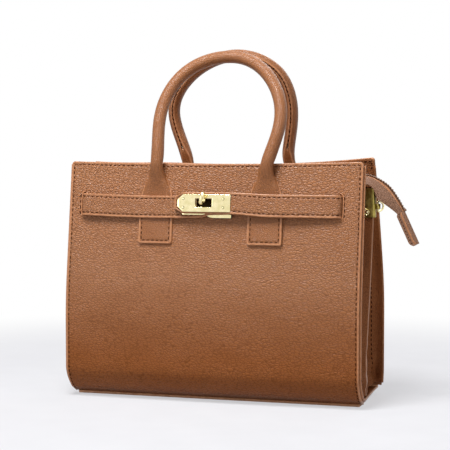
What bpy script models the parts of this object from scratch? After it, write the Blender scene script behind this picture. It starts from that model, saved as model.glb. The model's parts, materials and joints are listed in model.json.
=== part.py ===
"""Structured leather handbag: two stiff panels, folded gussets, two rolled handles, a belt with a turn lock
and a zip closure whose tail hangs out at one end.

The origin is the middle of the base's underside. X runs along the width, the front faces -Y, and Z is up.
"""

import math

import bmesh
import bpy
from mathutils import Matrix, Vector

MM = 0.001
DEG = math.pi / 180

# Fits
GAP = 0.3 * MM
LOOSE_GAP = 0.6 * MM
OVERRUN = 5 * MM
STEP = 0.05 * MM
WELD = 0.01 * MM

# Body
WIDTH = 290 * MM
DEPTH = 119.3 * MM
RIM_HEIGHT = 229.2 * MM
RIM_SAG = 3.4 * MM
REAR_RIM_RISE = 4.3 * MM
REAR_RIM_SAG = 6.5 * MM
BELLY_HEIGHT = 97 * MM
FRONT_TUCK = 26 * MM
FRONT_BOW = 4 * MM
REAR_TUCK = 16 * MM
REAR_BOW = 7 * MM
REAR_RIM_BOW = 28.5 * MM
FOOT_LIFT = 2.5 * MM
REAR_CORNER_LIFT = 4.5 * MM
CORNER_RUN = 45 * MM
TUCK_POWER = 1.5
REAR_LEAN_POWER = 1.2

# Leather and board
PANEL_WALL = 2.4 * MM
GUSSET_WALL = 1.2 * MM
LINING_WALL = 1.0 * MM
BASE_WALL = 2.0 * MM
BOARD_WALL = 2.0 * MM
BOARD_MARGIN = 14 * MM
WELT_RADIUS = 1.4 * MM

# Gusset folds
FLANGE = 8 * MM
VALLEY = 21 * MM
VALLEY_RISE = 45 * MM
CREST_PROUD = 3.5 * MM
CREST_FOOT_INSET = 7 * MM
PINCH_LENGTH = 60 * MM
PINCH_CLEARANCE = 6.6 * MM
PINCH_DEPTH = 15 * MM
PINCH_HALF = 1.0 * MM
GUSSET_SETDOWN = 9 * MM
GUSSET_FOOT = 2.9 * MM
GUSSET_STATIONS = 9

# Gusset clip and its ring
CLIP_SETDOWN = 9.6 * MM
CLIP_LENGTH = 27.8 * MM
CLIP_DEPTH = 17 * MM
CLIP_WALL = 1.2 * MM
CLIP_SCREW_RADIUS = 3.0 * MM
CLIP_SCREW_HEAD = 1.4 * MM
CLIP_SCREW_RISE = 5 * MM
CLIP_SCREW_INSET = 8.5 * MM
RING_WIRE = 1.1 * MM
RING_HEIGHT = 9.5 * MM
RING_REACH = 10.5 * MM
RING_SETDOWN = 17.4 * MM
RING_REST = 72 * DEG
KNUCKLE_WALL = 1.0 * MM
KNUCKLE_HEIGHT = 5 * MM

# Belt straps
STRAP_HEIGHT = 20 * MM
STRAP_WALL = 1.8 * MM
STRAP_DEPTH = 41.2 * MM
LEFT_SLOT_INSET = 14.7 * MM
RIGHT_SLOT_INSET = 19.6 * MM
LEFT_STRAP_END = 20 * MM
RIGHT_STRAP_EDGE = 2.1 * MM
LEFT_SAG = 1.9 * MM
RIGHT_SAG = 0.4 * MM
SLOT_WIDTH = 3.2 * MM
HINGE_GAP = 1.3 * MM
ANCHOR_TAB = 9 * MM
ANCHOR_WALL = 1.4 * MM
ANCHOR_SETBACK = 2.2 * MM

# Lock
LOCK_X = -6 * MM
LOCK_RISE = 2.3 * MM
PLATE_HEIGHT = 16.2 * MM
PLATE_WALL = 1.0 * MM
PLATE_POINT = 5.8 * MM
PLATE_SHOULDER = 25.5 * MM
PLATE_END = 21.1 * MM
PLATE_TIP_HALF = 3.2 * MM
INNER_PLATE_START = 29 * MM
INNER_PLATE_END = 19 * MM
LOCK_SLOT_LENGTH = 16.2 * MM
LOCK_SLOT_HEIGHT = 8.6 * MM
LOCK_SLOT_X = -5.3 * MM
LOCK_SLOT_RISE = 0.6 * MM
STRAP_TIP_HALF = 4.5 * MM
RIVET_RADIUS = 1.3 * MM
RIVET_LEFT = 25.3 * MM
RIVET_RIGHT = 14 * MM
RIVET_SPREAD = 4.1 * MM
RIVET_PROUD = 0.3 * MM
STEM_RADIUS = 1.8 * MM
STEM_RISE = 2.6 * MM
KNOB_UP = 8.2 * MM
KNOB_DOWN = 4.6 * MM
KNOB_REACH = 8.0 * MM
KNOB_WALL = 3.2 * MM
KNOB_EYE = 2.1 * MM

# Chapes, where the handles are sewn on
CHAPE_X = 54 * MM
CHAPE_WALL = 2.2 * MM
CHAPE_WIDTH = 33.5 * MM
CHAPE_NECK = 28 * MM
CHAPE_DROP = 37 * MM
CHAPE_RISE = 15 * MM
CHAPE_SHOULDER_DROP = 10 * MM
PIVOT_RISE = 3.2 * MM

# Handles
HANDLE_RADIUS = 6 * MM
HANDLE_BORE = 4.4 * MM
CORE_RADIUS = 4.0 * MM
HANDLE_SEAM = 0.7 * MM
FRONT_HANDLE_RISE = 101.1 * MM
REAR_HANDLE_RISE = 100.7 * MM
FRONT_APEX_Y = -13 * MM
REAR_APEX_Y = 11 * MM
FLARE_WALL = 4.4 * MM
FLARE_SLIT = 0.5 * MM

# Zip
ZIP_DEPTH = 15.2 * MM
ZIP_LEFT_INSET = 27 * MM
ZIP_RIGHT_INSET = 21 * MM
FLAP_WALL = 1.2 * MM
TAPE_WALL = 0.6 * MM
TAPE_WIDTH = 7 * MM
TOOTH_PITCH = 5 * MM
TOOTH_REACH = 0.7 * MM
TOOTH_BACK = 2.6 * MM
TOOTH_ROOT = 1.2 * MM
TOOTH_WALL = 1.6 * MM
FACING_INSET = 14 * MM
END_PIECE_LENGTH = 19 * MM
SLIDER_LENGTH = 10 * MM
SLIDER_WIDTH = 8 * MM
SLIDER_WALL = 1.1 * MM
SLIDER_LUG = 3 * MM
PULL_LENGTH = 22 * MM
PULL_WIDTH = 6 * MM
PULL_WALL = 1.2 * MM

# Zip tail
TAIL_GAP = 4 * MM
TAIL_RUN = 49.5 * MM
TAIL_FALL = 33 * MM
TAIL_HALF = 9 * MM
TAIL_DROP = 8.5 * MM
TAIL_WALL = 1.1 * MM
TAIL_CHAIN = 2.4 * MM
TAB_LENGTH = 32 * MM
TAB_WIDTH = 13 * MM
TAB_WALL = 6.5 * MM

# Shares of the depth
FRONT_BELLY_SHARE = 0.497
FRONT_RIM_SHARE = 0.3487
FRONT_FOOT_SHARE = 0.3018
REAR_RIM_SHARE = 0.1073
REAR_FOOT_SHARE = 0.4443
CREST_SHARE = 0.0838
ZIP_SHARE = 0.1006
FLAP_SHARE = 0.197

# Shares of the other sizes that they follow
FRONT_ROUTE_SHARES = (
    (-0.98, 0.0), (-0.985, 0.2), (-1.01, 0.39), (-0.965, 0.585), (-0.79, 0.78), (-0.52, 0.91), (-0.2, 0.98),
    (0.12, 1.0), (0.42, 0.982), (0.72, 0.905), (0.99, 0.77), (1.19, 0.58), (1.24, 0.385), (1.16, 0.195),
    (1.02, 0.0),
)
REAR_ROUTE_SHARES = (
    (-0.98, 0.0), (-1.12, 0.2), (-1.23, 0.39), (-1.21, 0.54), (-1.05, 0.69), (-0.76, 0.83), (-0.38, 0.94),
    (0.08, 1.0), (0.5, 0.965), (0.8, 0.875), (0.98, 0.765), (1.08, 0.575), (1.06, 0.385), (0.98, 0.19),
    (0.9, 0.0),
)
TAIL_ROUTE_SHARES = ((0.0, 0.01), (0.28, 0.0), (0.48, 0.1), (0.7, 0.32), (0.875, 0.67), (1.0, 1.0))
TAIL_DROP_SHARES = (1.0, 1.05, 1.2, 1.45, 1.05, 0.65)
TAIL_SPREAD_SHARES = (0.75, 0.8, 0.9, 1.0, 0.7, 0.4)
TAB_LEAN_SHARE = 0.46
HANDLE_LEAN_POWER = 1.6
TUCK_ROWS_SHARE = 6 / 20
PINCH_OPEN_SHARE = 0.6
VALLEY_SHARE = 0.5
LEAN_BLEND = 25 * MM

# Places that follow from the sizes
HALF = WIDTH / 2
FRONT_BELLY = DEPTH * FRONT_BELLY_SHARE
FRONT_RIM = DEPTH * FRONT_RIM_SHARE
FRONT_FOOT = DEPTH * FRONT_FOOT_SHARE
REAR_BELLY = DEPTH - FRONT_BELLY
REAR_RIM = DEPTH * REAR_RIM_SHARE
REAR_FOOT = DEPTH * REAR_FOOT_SHARE
CREST_Y = -DEPTH * CREST_SHARE
ZIP_Y = -DEPTH * ZIP_SHARE
FLAP_WIDTH = DEPTH * FLAP_SHARE
REAR_RIM_HEIGHT = RIM_HEIGHT + REAR_RIM_RISE
STRAP_MIDDLE = RIM_HEIGHT - STRAP_DEPTH
LOCK_HEIGHT = STRAP_MIDDLE + LOCK_RISE
CHAPE_BOTTOM = STRAP_MIDDLE - CHAPE_DROP
CHAPE_SHOULDER = STRAP_MIDDLE - CHAPE_SHOULDER_DROP
CHAPE_TOP = STRAP_MIDDLE + CHAPE_RISE
PIVOT_HEIGHT = CHAPE_TOP + PIVOT_RISE
FRONT_APEX = RIM_HEIGHT + FRONT_HANDLE_RISE
REAR_APEX = REAR_RIM_HEIGHT + REAR_HANDLE_RISE
ZIP_HEIGHT = RIM_HEIGHT - ZIP_DEPTH
GUSSET_TOP = ZIP_HEIGHT - GUSSET_SETDOWN
CLIP_TOP = ZIP_HEIGHT - CLIP_SETDOWN
CLIP_BOTTOM = CLIP_TOP - CLIP_LENGTH
RING_MIDDLE = CLIP_TOP - RING_SETDOWN
PINCH_END = CLIP_BOTTOM - PINCH_CLEARANCE
PINCH_START = PINCH_END - PINCH_LENGTH
CREST_TOP = HALF + CREST_PROUD
CREST_FOOT = HALF - CREST_FOOT_INSET
LEFT_SLOT = HALF - LEFT_SLOT_INSET
RIGHT_SLOT = HALF - RIGHT_SLOT_INSET
PLATE_TIP = PLATE_SHOULDER + PLATE_POINT
RIGHT_STRAP_TIP = PLATE_TIP + RIGHT_STRAP_EDGE
ZIP_LEFT = HALF - ZIP_LEFT_INSET
ZIP_RIGHT = HALF - ZIP_RIGHT_INSET
FACING_END = HALF - FACING_INSET
TAIL_ROOT = ZIP_RIGHT + TAIL_GAP
FRONT_LEAN = (FRONT_BELLY - FRONT_RIM) / (RIM_HEIGHT - BELLY_HEIGHT)
STRAP_OUT = 2 * GAP + CHAPE_WALL + STRAP_WALL / 2
STRAP_LAP = STRAP_WALL + PLATE_WALL + 2 * GAP
PIVOT_OUT = 2 * GAP + FLARE_WALL / 2
CLIP_FACE = PINCH_HALF + GUSSET_WALL / 2 + GAP
CLIP_OUTER_X = CREST_TOP + GUSSET_WALL / 2 + GAP + CLIP_WALL
KNUCKLE_BORE = RING_WIRE + GAP
KNUCKLE_X = CLIP_OUTER_X + KNUCKLE_BORE + KNUCKLE_WALL / 2
LINING_HALF = HALF - FLANGE - VALLEY - 2 * GUSSET_WALL - LOOSE_GAP


def clamp(value):
    return min(max(value, 0.0), 1.0)


def smooth(value):
    value = clamp(value)
    return value * value * (3 - 2 * value)


def mix(first, last, share):
    return first + (last - first) * share


def table(shares, where):
    """Smooth value of an evenly spaced table at this share of its length, by a Catmull-Rom curve."""
    last = len(shares) - 1
    place = clamp(where) * last
    index = min(int(place), last - 1)
    part = place - index
    near = [Vector(shares[min(max(index + step, 0), last)]) for step in (-1, 0, 1, 2)]
    return 0.5 * (
        2 * near[1]
        + (near[2] - near[0]) * part
        + (2 * near[0] - 5 * near[1] + 4 * near[2] - near[3]) * part**2
        + (3 * near[1] - 3 * near[2] + near[3] - near[0]) * part**3
    )


# Surfaces of the body

def across(x):
    """1 in the middle of the width and 0 at the side edges."""
    return 1 - (x / HALF) ** 2


def tuck(rise, height):
    """Share of the wall's full depth at this rise above its foot."""
    return (1 - (1 - clamp(rise / height)) ** TUCK_POWER) ** (1 / TUCK_POWER)


def soft_rise(height, start):
    """How far a height is past a start, with a rounded knee."""
    rise = height - start
    if rise >= LEAN_BLEND:
        return rise
    return max(rise + LEAN_BLEND, 0) ** 2 / (4 * LEAN_BLEND)


def front_rim(x):
    return RIM_HEIGHT - RIM_SAG * across(x)


def rear_rim(x):
    return REAR_RIM_HEIGHT - REAR_RIM_SAG * across(x)


def rear_foot(x):
    return FOOT_LIFT + corner_lift(x)


def corner_lift(x):
    return REAR_CORNER_LIFT * smooth((abs(x) - HALF + CORNER_RUN) / CORNER_RUN)


def front_wall(x, z):
    """Point of the front panel's outer face."""
    share = tuck(z - FOOT_LIFT, FRONT_TUCK)
    depth = mix(FRONT_FOOT, FRONT_BELLY, share) + FRONT_BOW * across(x) * share
    depth -= FRONT_LEAN * soft_rise(z, BELLY_HEIGHT)
    return Vector((x, -depth, z))


def rear_wall(x, z):
    """Point of the rear panel's outer face, which leans in more and bows out behind the handle."""
    share = tuck(z - rear_foot(x), REAR_TUCK)
    rise = soft_rise(z, BELLY_HEIGHT) / (REAR_RIM_HEIGHT - BELLY_HEIGHT)
    depth = mix(REAR_FOOT, REAR_BELLY, share) - (REAR_BELLY - REAR_RIM) * rise**REAR_LEAN_POWER
    depth += across(x) * share * mix(REAR_BOW, REAR_RIM_BOW, rise**TUCK_POWER)
    return Vector((x, depth, z))


def outward(wall, x, z):
    """Normal of a wall, pointing out of the bag."""
    along = wall(x + STEP, z) - wall(x - STEP, z)
    up = wall(x, z + STEP) - wall(x, z)
    normal = along.cross(up).normalized()
    return normal if wall is front_wall else -normal


def off_wall(wall, x, z, out):
    """Point at this distance outside a wall. A negative distance is inside."""
    return wall(x, z) + outward(wall, x, z) * out


def level_point(wall, x, z, inside):
    """Point inside a wall at exactly this height, found by moving up or down the wall."""
    height = z
    for _ in range(20):
        point = off_wall(wall, x, height, -inside)
        height = max(height + z - point.z, FOOT_LIFT)
    return Vector((x, point.y, z))


def row_height(share, foot, bend, rim):
    """Height of a panel's row: close rows round the tuck, even rows above it."""
    if share < TUCK_ROWS_SHARE:
        return foot + bend * (1 - math.cos(share / TUCK_ROWS_SHARE * math.pi / 2))
    return mix(foot + bend, rim, (share - TUCK_ROWS_SHARE) / (1 - TUCK_ROWS_SHARE))


# Making objects

def new_collection(name):
    collection = bpy.data.collections.new(name)
    bpy.context.scene.collection.children.link(collection)
    return collection


def new_finish(name, colour, roughness, metallic=0.0):
    finish = bpy.data.materials.new(name)
    finish.use_nodes = True
    shader = finish.node_tree.nodes["Principled BSDF"]
    shader.inputs["Base Color"].default_value = (*colour, 1)
    shader.inputs["Roughness"].default_value = roughness
    shader.inputs["Metallic"].default_value = metallic
    return finish


def new_object(name, mesh, finish, collection=None):
    item = bpy.data.objects.new(name, mesh)
    (collection or PARTS).objects.link(item)
    if finish:
        mesh.materials.append(finish)
    return item


def from_bmesh(name, bm, finish, collection=None):
    bmesh.ops.recalc_face_normals(bm, faces=bm.faces)
    mesh = bpy.data.meshes.new(name)
    bm.to_mesh(mesh)
    bm.free()
    return new_object(name, mesh, finish, collection)


def sheet(name, place, columns, rows, wall, finish):
    """A skin of one thickness. place gives its middle surface at shares of its length and width."""
    bm = bmesh.new()
    bmesh.ops.create_grid(bm, x_segments=columns, y_segments=rows, size=0.5)
    for vert in bm.verts:
        vert.co = place(vert.co.x + 0.5, vert.co.y + 0.5)
    mesh = bpy.data.meshes.new(name)
    bm.to_mesh(mesh)
    bm.free()
    item = new_object(name, mesh, finish)
    solidify = item.modifiers.new("Thickness", "SOLIDIFY")
    solidify.thickness = wall
    solidify.offset = 0
    solidify.use_even_offset = True
    return item


def loft(name, rings, finish):
    """A body through closed rings of as many points each, with flat ends."""
    bm = bmesh.new()
    loops = [[bm.verts.new(point) for point in ring] for ring in rings]
    count = len(loops[0])
    for low, high in zip(loops, loops[1:]):
        for index in range(count):
            after = (index + 1) % count
            bm.faces.new((low[index], low[after], high[after], high[index]))
    bm.faces.new(loops[0])
    bm.faces.new(loops[-1])
    return from_bmesh(name, bm, finish)


def curve_object(name, outlines, cyclic, flat):
    curve = bpy.data.curves.new(name, "CURVE")
    curve.dimensions = "2D" if flat else "3D"
    for outline in outlines:
        spline = curve.splines.new("POLY")
        spline.points.add(len(outline) - 1)
        for point, place in zip(spline.points, outline):
            point.co = (*place, 0, 1) if flat else (*place, 1)
        spline.use_cyclic_u = cyclic
    item = bpy.data.objects.new(name, curve)
    PARTS.objects.link(item)
    return item


def as_mesh(item, finish, collection=None):
    """Turns a curve object into a mesh object of the same name and place."""
    name = item.name
    bpy.context.view_layer.update()
    seen = item.evaluated_get(bpy.context.evaluated_depsgraph_get())
    mesh = bpy.data.meshes.new_from_object(seen)
    place = item.matrix_world.copy()
    bpy.data.objects.remove(item)
    bm = bmesh.new()
    bm.from_mesh(mesh)
    bmesh.ops.remove_doubles(bm, verts=bm.verts, dist=WELD)
    bm.to_mesh(mesh)
    bm.free()
    made = new_object(name, mesh, finish, collection)
    made.matrix_world = place
    return made


def plate(name, outlines, bottom, wall, frame, finish, collection=None):
    """A flat plate in a frame's XY plane. The outlines after the first are its holes."""
    item = curve_object(name, outlines, True, True)
    item.data.fill_mode = "BOTH"
    item.data.extrude = wall / 2
    item.matrix_world = frame @ Matrix.Translation((0, 0, bottom + wall / 2))
    return as_mesh(item, finish, collection)


def rectangle(left, right, half):
    """Corners of a flat outline that reaches as far above its X axis as below it."""
    return [(left, -half), (right, -half), (right, half), (left, half)]


def tube(name, points, radius, finish, cyclic=False):
    item = curve_object(name, [points], cyclic, False)
    item.data.bevel_depth = radius
    item.data.bevel_resolution = 2
    item.data.use_fill_caps = True
    return as_mesh(item, finish)


def round_bars(name, spots, radius, low, high, frame, finish, sides=12, collection=None):
    """Round bars along a frame's Z axis, one at each spot of its XY plane."""
    bm = bmesh.new()
    for x, y in spots:
        bmesh.ops.create_cone(
            bm, cap_ends=True, segments=sides, radius1=radius, radius2=radius, depth=high - low,
            matrix=Matrix.Translation((x, y, (low + high) / 2)),
        )
    item = from_bmesh(name, bm, finish, collection)
    item.matrix_world = frame
    return item


def box_cutter(name, low, high, frame):
    bm = bmesh.new()
    size = Vector(high) - Vector(low)
    place = Matrix.Translation((Vector(high) + Vector(low)) / 2) @ Matrix.Diagonal((*size, 1))
    bmesh.ops.create_cube(bm, size=1, matrix=place)
    item = from_bmesh(name, bm, None, CUTTERS)
    item.matrix_world = frame
    return as_cutter(item)


def as_cutter(item):
    item.hide_render = True
    item.display_type = "WIRE"
    return item


def cut(item, cutter):
    boolean = item.modifiers.new(cutter.name, "BOOLEAN")
    boolean.operation = "DIFFERENCE"
    boolean.solver = "EXACT"
    boolean.object = cutter


def join(item, other):
    boolean = item.modifiers.new(other.name, "BOOLEAN")
    boolean.operation = "UNION"
    boolean.solver = "EXACT"
    boolean.object = other


def hang_from(item, parent):
    """Parents an object and keeps its place."""
    place = item.matrix_world.copy()
    item.parent = parent
    item.matrix_world = place


def pivot(name, place):
    """An empty on a joint's axis."""
    item = bpy.data.objects.new(name, None)
    PARTS.objects.link(item)
    item.location = place
    bpy.context.view_layer.update()
    return item


def wall_frame(wall, x, z):
    """Frame on a wall: X along the width, Y up the wall, Z out of it."""
    origin = wall(x, z)
    out = outward(wall, x, z)
    side = Vector((1, 0, 0)) if wall is front_wall else Vector((-1, 0, 0))
    up = out.cross(side).normalized()
    side = up.cross(out)
    frame = Matrix((side, up, out)).transposed().to_4x4()
    frame.translation = origin
    return frame


# Body of the bag

def make_panels():
    def front(u, v):
        x = mix(-HALF, HALF, u)
        z = row_height(v, FOOT_LIFT + GAP, FRONT_TUCK, front_rim(x))
        return off_wall(front_wall, x, z, -PANEL_WALL / 2)

    def rear(u, v):
        x = mix(-HALF, HALF, u)
        z = row_height(v, rear_foot(x) + GAP, REAR_TUCK, rear_rim(x))
        return off_wall(rear_wall, x, z, -PANEL_WALL / 2)

    front_panel = sheet("front_panel", front, 10, 20, PANEL_WALL, LEATHER)
    sheet("rear_panel", rear, 16, 20, PANEL_WALL, LEATHER)
    for side, slot in ((-1, LEFT_SLOT), (1, RIGHT_SLOT)):
        frame = wall_frame(front_wall, side * slot, STRAP_MIDDLE)
        half = STRAP_HEIGHT / 2 + GAP
        low = (-SLOT_WIDTH / 2, -half, -PANEL_WALL - OVERRUN)
        high = (SLOT_WIDTH / 2, half, OVERRUN)
        cut(front_panel, box_cutter(f"slot_cutter_{side}", low, high, frame))


def make_base():
    front_seam = -FRONT_FOOT + 2 * WELT_RADIUS + GAP
    rear_seam = REAR_FOOT - 2 * WELT_RADIUS - GAP

    def base(u, v):
        x = mix(-HALF + FLANGE / 2, HALF - FLANGE / 2, u)
        y = mix(front_seam, rear_seam, v)
        rear_share = smooth((y - front_seam) / (rear_seam - front_seam))
        return Vector((x, y, BASE_WALL / 2 + corner_lift(x) * rear_share))

    def welt(y, lift):
        count = 16
        ends = HALF - FLANGE / 2
        return [
            (x, y, WELT_RADIUS + lift * corner_lift(x) + GAP)
            for x in (mix(-ends, ends, index / count) for index in range(count + 1))
        ]

    sheet("base_panel", base, 16, 6, BASE_WALL, LEATHER)
    tube("base_welt_front", welt(-FRONT_FOOT + WELT_RADIUS, 0), WELT_RADIUS, EDGE)
    tube("base_welt_rear", welt(REAR_FOOT - WELT_RADIUS, 1), WELT_RADIUS, EDGE)
    low = (-LINING_HALF + LINING_WALL, front_seam + GAP)
    high = (LINING_HALF - LINING_WALL, rear_seam - BOARD_MARGIN)
    corners = [(low[0], low[1]), (high[0], low[1]), (high[0], high[1]), (low[0], high[1])]
    plate("base_board", [corners], BASE_WALL + GAP + board_lift(), BOARD_WALL, Matrix(), BOARD)


def board_lift():
    """The board lies on the base's flat middle and clears its raised rear corners."""
    return corner_lift(LINING_HALF - LINING_WALL)


def gusset_point(side, station, share):
    """Point of a gusset's middle surface. Stations run from the front seam over valleys and crest."""
    from_seam = min(station, GUSSET_STATIONS - station)
    is_front = station < GUSSET_STATIONS / 2
    wall = front_wall if is_front else rear_wall
    top = RIM_HEIGHT - FLANGE if from_seam == 0 else GUSSET_TOP
    foot = GUSSET_FOOT + corner_lift(HALF) * smooth(station / GUSSET_STATIONS)
    z = row_height(share, foot, FRONT_TUCK, top)
    inside = PANEL_WALL + LOOSE_GAP + GUSSET_WALL / 2
    if from_seam == 0:
        return off_wall(wall, side * HALF, z, -inside)
    flange = off_wall(wall, side * (HALF - FLANGE), z, -inside)
    if from_seam == 1:
        return flange
    crest_x = mix(CREST_FOOT, CREST_TOP, clamp(z / PINCH_END))
    crest_y = CREST_Y * clamp(z / PINCH_END)
    toward = -1 if is_front else 1
    crest = Vector((side * crest_x, crest_y + toward * PINCH_HALF, z))
    valley = flange.lerp(crest, VALLEY_SHARE)
    valley.x = side * (HALF - FLANGE - GUSSET_WALL - VALLEY * smooth(z / VALLEY_RISE))
    valley.z = z
    if from_seam == 2:
        return valley
    if from_seam == 4:
        return crest
    pinched = crest - Vector((side * PINCH_DEPTH, 0, 0))
    pinch = smooth((z - PINCH_START) / (PINCH_END - PINCH_START))
    return valley.lerp(crest, PINCH_OPEN_SHARE).lerp(pinched, pinch)


def make_gussets():
    for side, name in ((-1, "gusset_left"), (1, "gusset_right")):
        def place(u, v, side=side):
            return gusset_point(side, round(u * GUSSET_STATIONS), v)

        sheet(name, place, GUSSET_STATIONS, 20, GUSSET_WALL, LEATHER)


def make_lining():
    """A tub of thin cloth whose walls follow the panels."""
    foot = BASE_WALL + 2 * GAP + board_lift() + BOARD_WALL + LINING_WALL / 2 + LOOSE_GAP
    top = ZIP_HEIGHT - FLAP_WALL - LOOSE_GAP
    inside = PANEL_WALL + LOOSE_GAP + LINING_WALL / 2
    columns, rows = 10, 12

    def wall_point(wall, x, share):
        return level_point(wall, x, row_height(share, foot, FRONT_TUCK, top), inside)

    bm = bmesh.new()
    loops = []
    for row in range(rows + 1):
        share = row / rows
        xs = [mix(-LINING_HALF, LINING_HALF, index / columns) for index in range(columns + 1)]
        front = [wall_point(front_wall, x, share) for x in xs]
        rear = [wall_point(rear_wall, x, share) for x in reversed(xs)]
        loops.append([bm.verts.new(point) for point in front + rear])
    count = len(loops[0])
    for low, high in zip(loops, loops[1:]):
        for index in range(count):
            after = (index + 1) % count
            bm.faces.new((low[index], low[after], high[after], high[index]))
    floor = loops[0]
    for index in range(columns):
        bm.faces.new((floor[index + 1], floor[index], floor[count - 1 - index], floor[count - 2 - index]))
    item = from_bmesh("lining", bm, CLOTH)
    solidify = item.modifiers.new("Thickness", "SOLIDIFY")
    solidify.thickness = LINING_WALL
    solidify.offset = 0


# Handles and their chapes

def make_chapes():
    for wall, end in ((front_wall, "front"), (rear_wall, "rear")):
        for side, hand in ((-1, "left"), (1, "right")):
            def place(u, v, wall=wall, side=side):
                z = mix(CHAPE_BOTTOM, CHAPE_TOP, v)
                narrowing = smooth((z - CHAPE_SHOULDER) / (CHAPE_TOP - CHAPE_SHOULDER))
                width = mix(CHAPE_WIDTH, CHAPE_NECK, narrowing)
                return off_wall(wall, side * CHAPE_X + (u - 0.5) * width, z, GAP + CHAPE_WALL / 2)

            sheet(f"chape_{end}_{hand}", place, 4, 5, CHAPE_WALL, LEATHER)


def relaxed(points, passes):
    """Evens out the bends between points and keeps the two ends."""
    for _ in range(passes):
        inner = [(a + b * 2 + c) / 4 for a, b, c in zip(points, points[1:], points[2:])]
        points = [points[0], *inner, points[-1]]
    return points


def handle_stations(wall, route, apex, apex_y):
    """Middle points of a handle from its left pivot to its right one, with the flare's share at each."""
    rim = (front_rim if wall is front_wall else rear_rim)(CHAPE_X)
    steps, flare_steps = 30, 4
    out = PIVOT_OUT + HANDLE_RADIUS - FLARE_WALL / 2

    def foot(side, share):
        z = mix(PIVOT_HEIGHT, rim, share)
        return off_wall(wall, side * CHAPE_X, z, mix(PIVOT_OUT, out, smooth(share)))

    stations = [(foot(-1, index / flare_steps), index / flare_steps) for index in range(flare_steps)]
    top = foot(1, 1)
    for index in range(steps + 1):
        across_share, up_share = table(route, index / steps)
        lean = clamp(up_share) ** HANDLE_LEAN_POWER
        x = across_share * CHAPE_X
        stations.append((Vector((x, mix(top.y, apex_y, lean), mix(top.z, apex, up_share))), 1.0))
    for index in reversed(range(flare_steps)):
        stations.append((foot(1, index / flare_steps), index / flare_steps))
    return list(zip(relaxed([point for point, _ in stations], 3), [flare for _, flare in stations]))


def handle_frames(stations, toward):
    """Each station's middle, its sideways axis and its axis towards the bag's middle."""
    points = [point for point, _ in stations]
    frames = []
    for index, point in enumerate(points):
        before = points[max(index - 1, 0)]
        after = points[min(index + 1, len(points) - 1)]
        along = (after - before).normalized()
        inward = (toward - along * toward.dot(along)).normalized()
        frames.append((point, along.cross(inward), inward))
    return frames


def seamed_ring(frame, flare):
    """Section of a wrapped handle: a wall with a narrow seam left open on the side towards the bag."""
    middle, sideways, inward = frame
    count = 10
    outer = (mix(CHAPE_NECK / 2, HANDLE_RADIUS, flare), mix(FLARE_WALL / 2, HANDLE_RADIUS, flare))
    skin = (FLARE_WALL - FLARE_SLIT) / 2
    inner = (mix(CHAPE_NECK / 2 - skin, HANDLE_BORE, flare), mix(FLARE_SLIT / 2, HANDLE_BORE, flare))
    ring = []
    for (wide, thick), order in ((outer, 1), (inner, -1)):
        start = math.asin(min(HANDLE_SEAM / 2 / wide, 1))
        turns = [mix(start, 2 * math.pi - start, index / count) for index in range(count + 1)]
        for turn in turns[::order]:
            ring.append(middle + sideways * (wide * math.sin(turn)) + inward * (thick * math.cos(turn)))
    return ring


def make_handles():
    ends = (
        ("front", front_wall, FRONT_ROUTE_SHARES, FRONT_APEX, FRONT_APEX_Y, Vector((0, 1, 0))),
        ("rear", rear_wall, REAR_ROUTE_SHARES, REAR_APEX, REAR_APEX_Y, Vector((0, -1, 0))),
    )
    for end, wall, route, apex, apex_y, toward in ends:
        stations = handle_stations(wall, route, apex, apex_y)
        frames = handle_frames(stations, toward)
        flares = [smooth(flare) for _, flare in stations]
        rings = [seamed_ring(frame, flare) for frame, flare in zip(frames, flares)]
        handle = loft(f"handle_{end}", rings, LEATHER)
        straight = [frame for frame, flare in zip(frames, flares) if flare == 1][1:-1]
        core = loft(f"handle_core_{end}", [round_ring(frame, CORE_RADIUS) for frame in straight], CORD)
        axis = pivot(f"handle_{end}_pivot", (0, *off_wall(wall, CHAPE_X, PIVOT_HEIGHT, PIVOT_OUT).yz))
        hang_from(handle, axis)
        hang_from(core, axis)


def round_ring(frame, radius):
    middle, sideways, inward = frame
    count = 10
    turns = [2 * math.pi * (index + 0.5) / count for index in range(count)]
    return [middle + (sideways * math.sin(turn) + inward * math.cos(turn)) * radius for turn in turns]


# Belt and lock

def strap_point(x, height, out, sag):
    return off_wall(front_wall, x, STRAP_MIDDLE + height - sag, out)


def make_straps():
    """Each strap starts at its hinge line by its slot. The right one laps over the left one's end."""
    left_root = -LEFT_SLOT + ANCHOR_SETBACK + HINGE_GAP
    right_root = RIGHT_SLOT - ANCHOR_SETBACK - HINGE_GAP

    def left(u, v):
        x = mix(left_root, LEFT_STRAP_END, u)
        sag = LEFT_SAG * math.sin(math.pi * u)
        return strap_point(x, (v - 0.5) * STRAP_HEIGHT, STRAP_OUT, sag)

    def right(u, v):
        x = mix(right_root, -RIGHT_STRAP_TIP, u)
        taper = clamp((-x - PLATE_SHOULDER) / (RIGHT_STRAP_TIP - PLATE_SHOULDER))
        height = mix(STRAP_HEIGHT, 2 * STRAP_TIP_HALF, taper)
        ramp = clamp((right_root - x) / (right_root - LEFT_STRAP_END - ANCHOR_TAB))
        sag = RIGHT_SAG * math.sin(math.pi * u)
        return strap_point(x, (v - 0.5) * height, STRAP_OUT + STRAP_LAP * ramp, sag)

    straps = (
        sheet("strap_left", left, 12, 2, STRAP_WALL, LEATHER),
        sheet("strap_right", right, 20, 2, STRAP_WALL, LEATHER),
    )
    for side, slot, hand in ((-1, LEFT_SLOT, "left"), (1, RIGHT_SLOT, "right")):
        frame = wall_frame(front_wall, side * slot, STRAP_MIDDLE)
        frame = frame @ Matrix.Rotation(-math.pi / 2, 4, "X")
        make_anchor(f"strap_anchor_{hand}", side, frame)
    return straps


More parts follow.
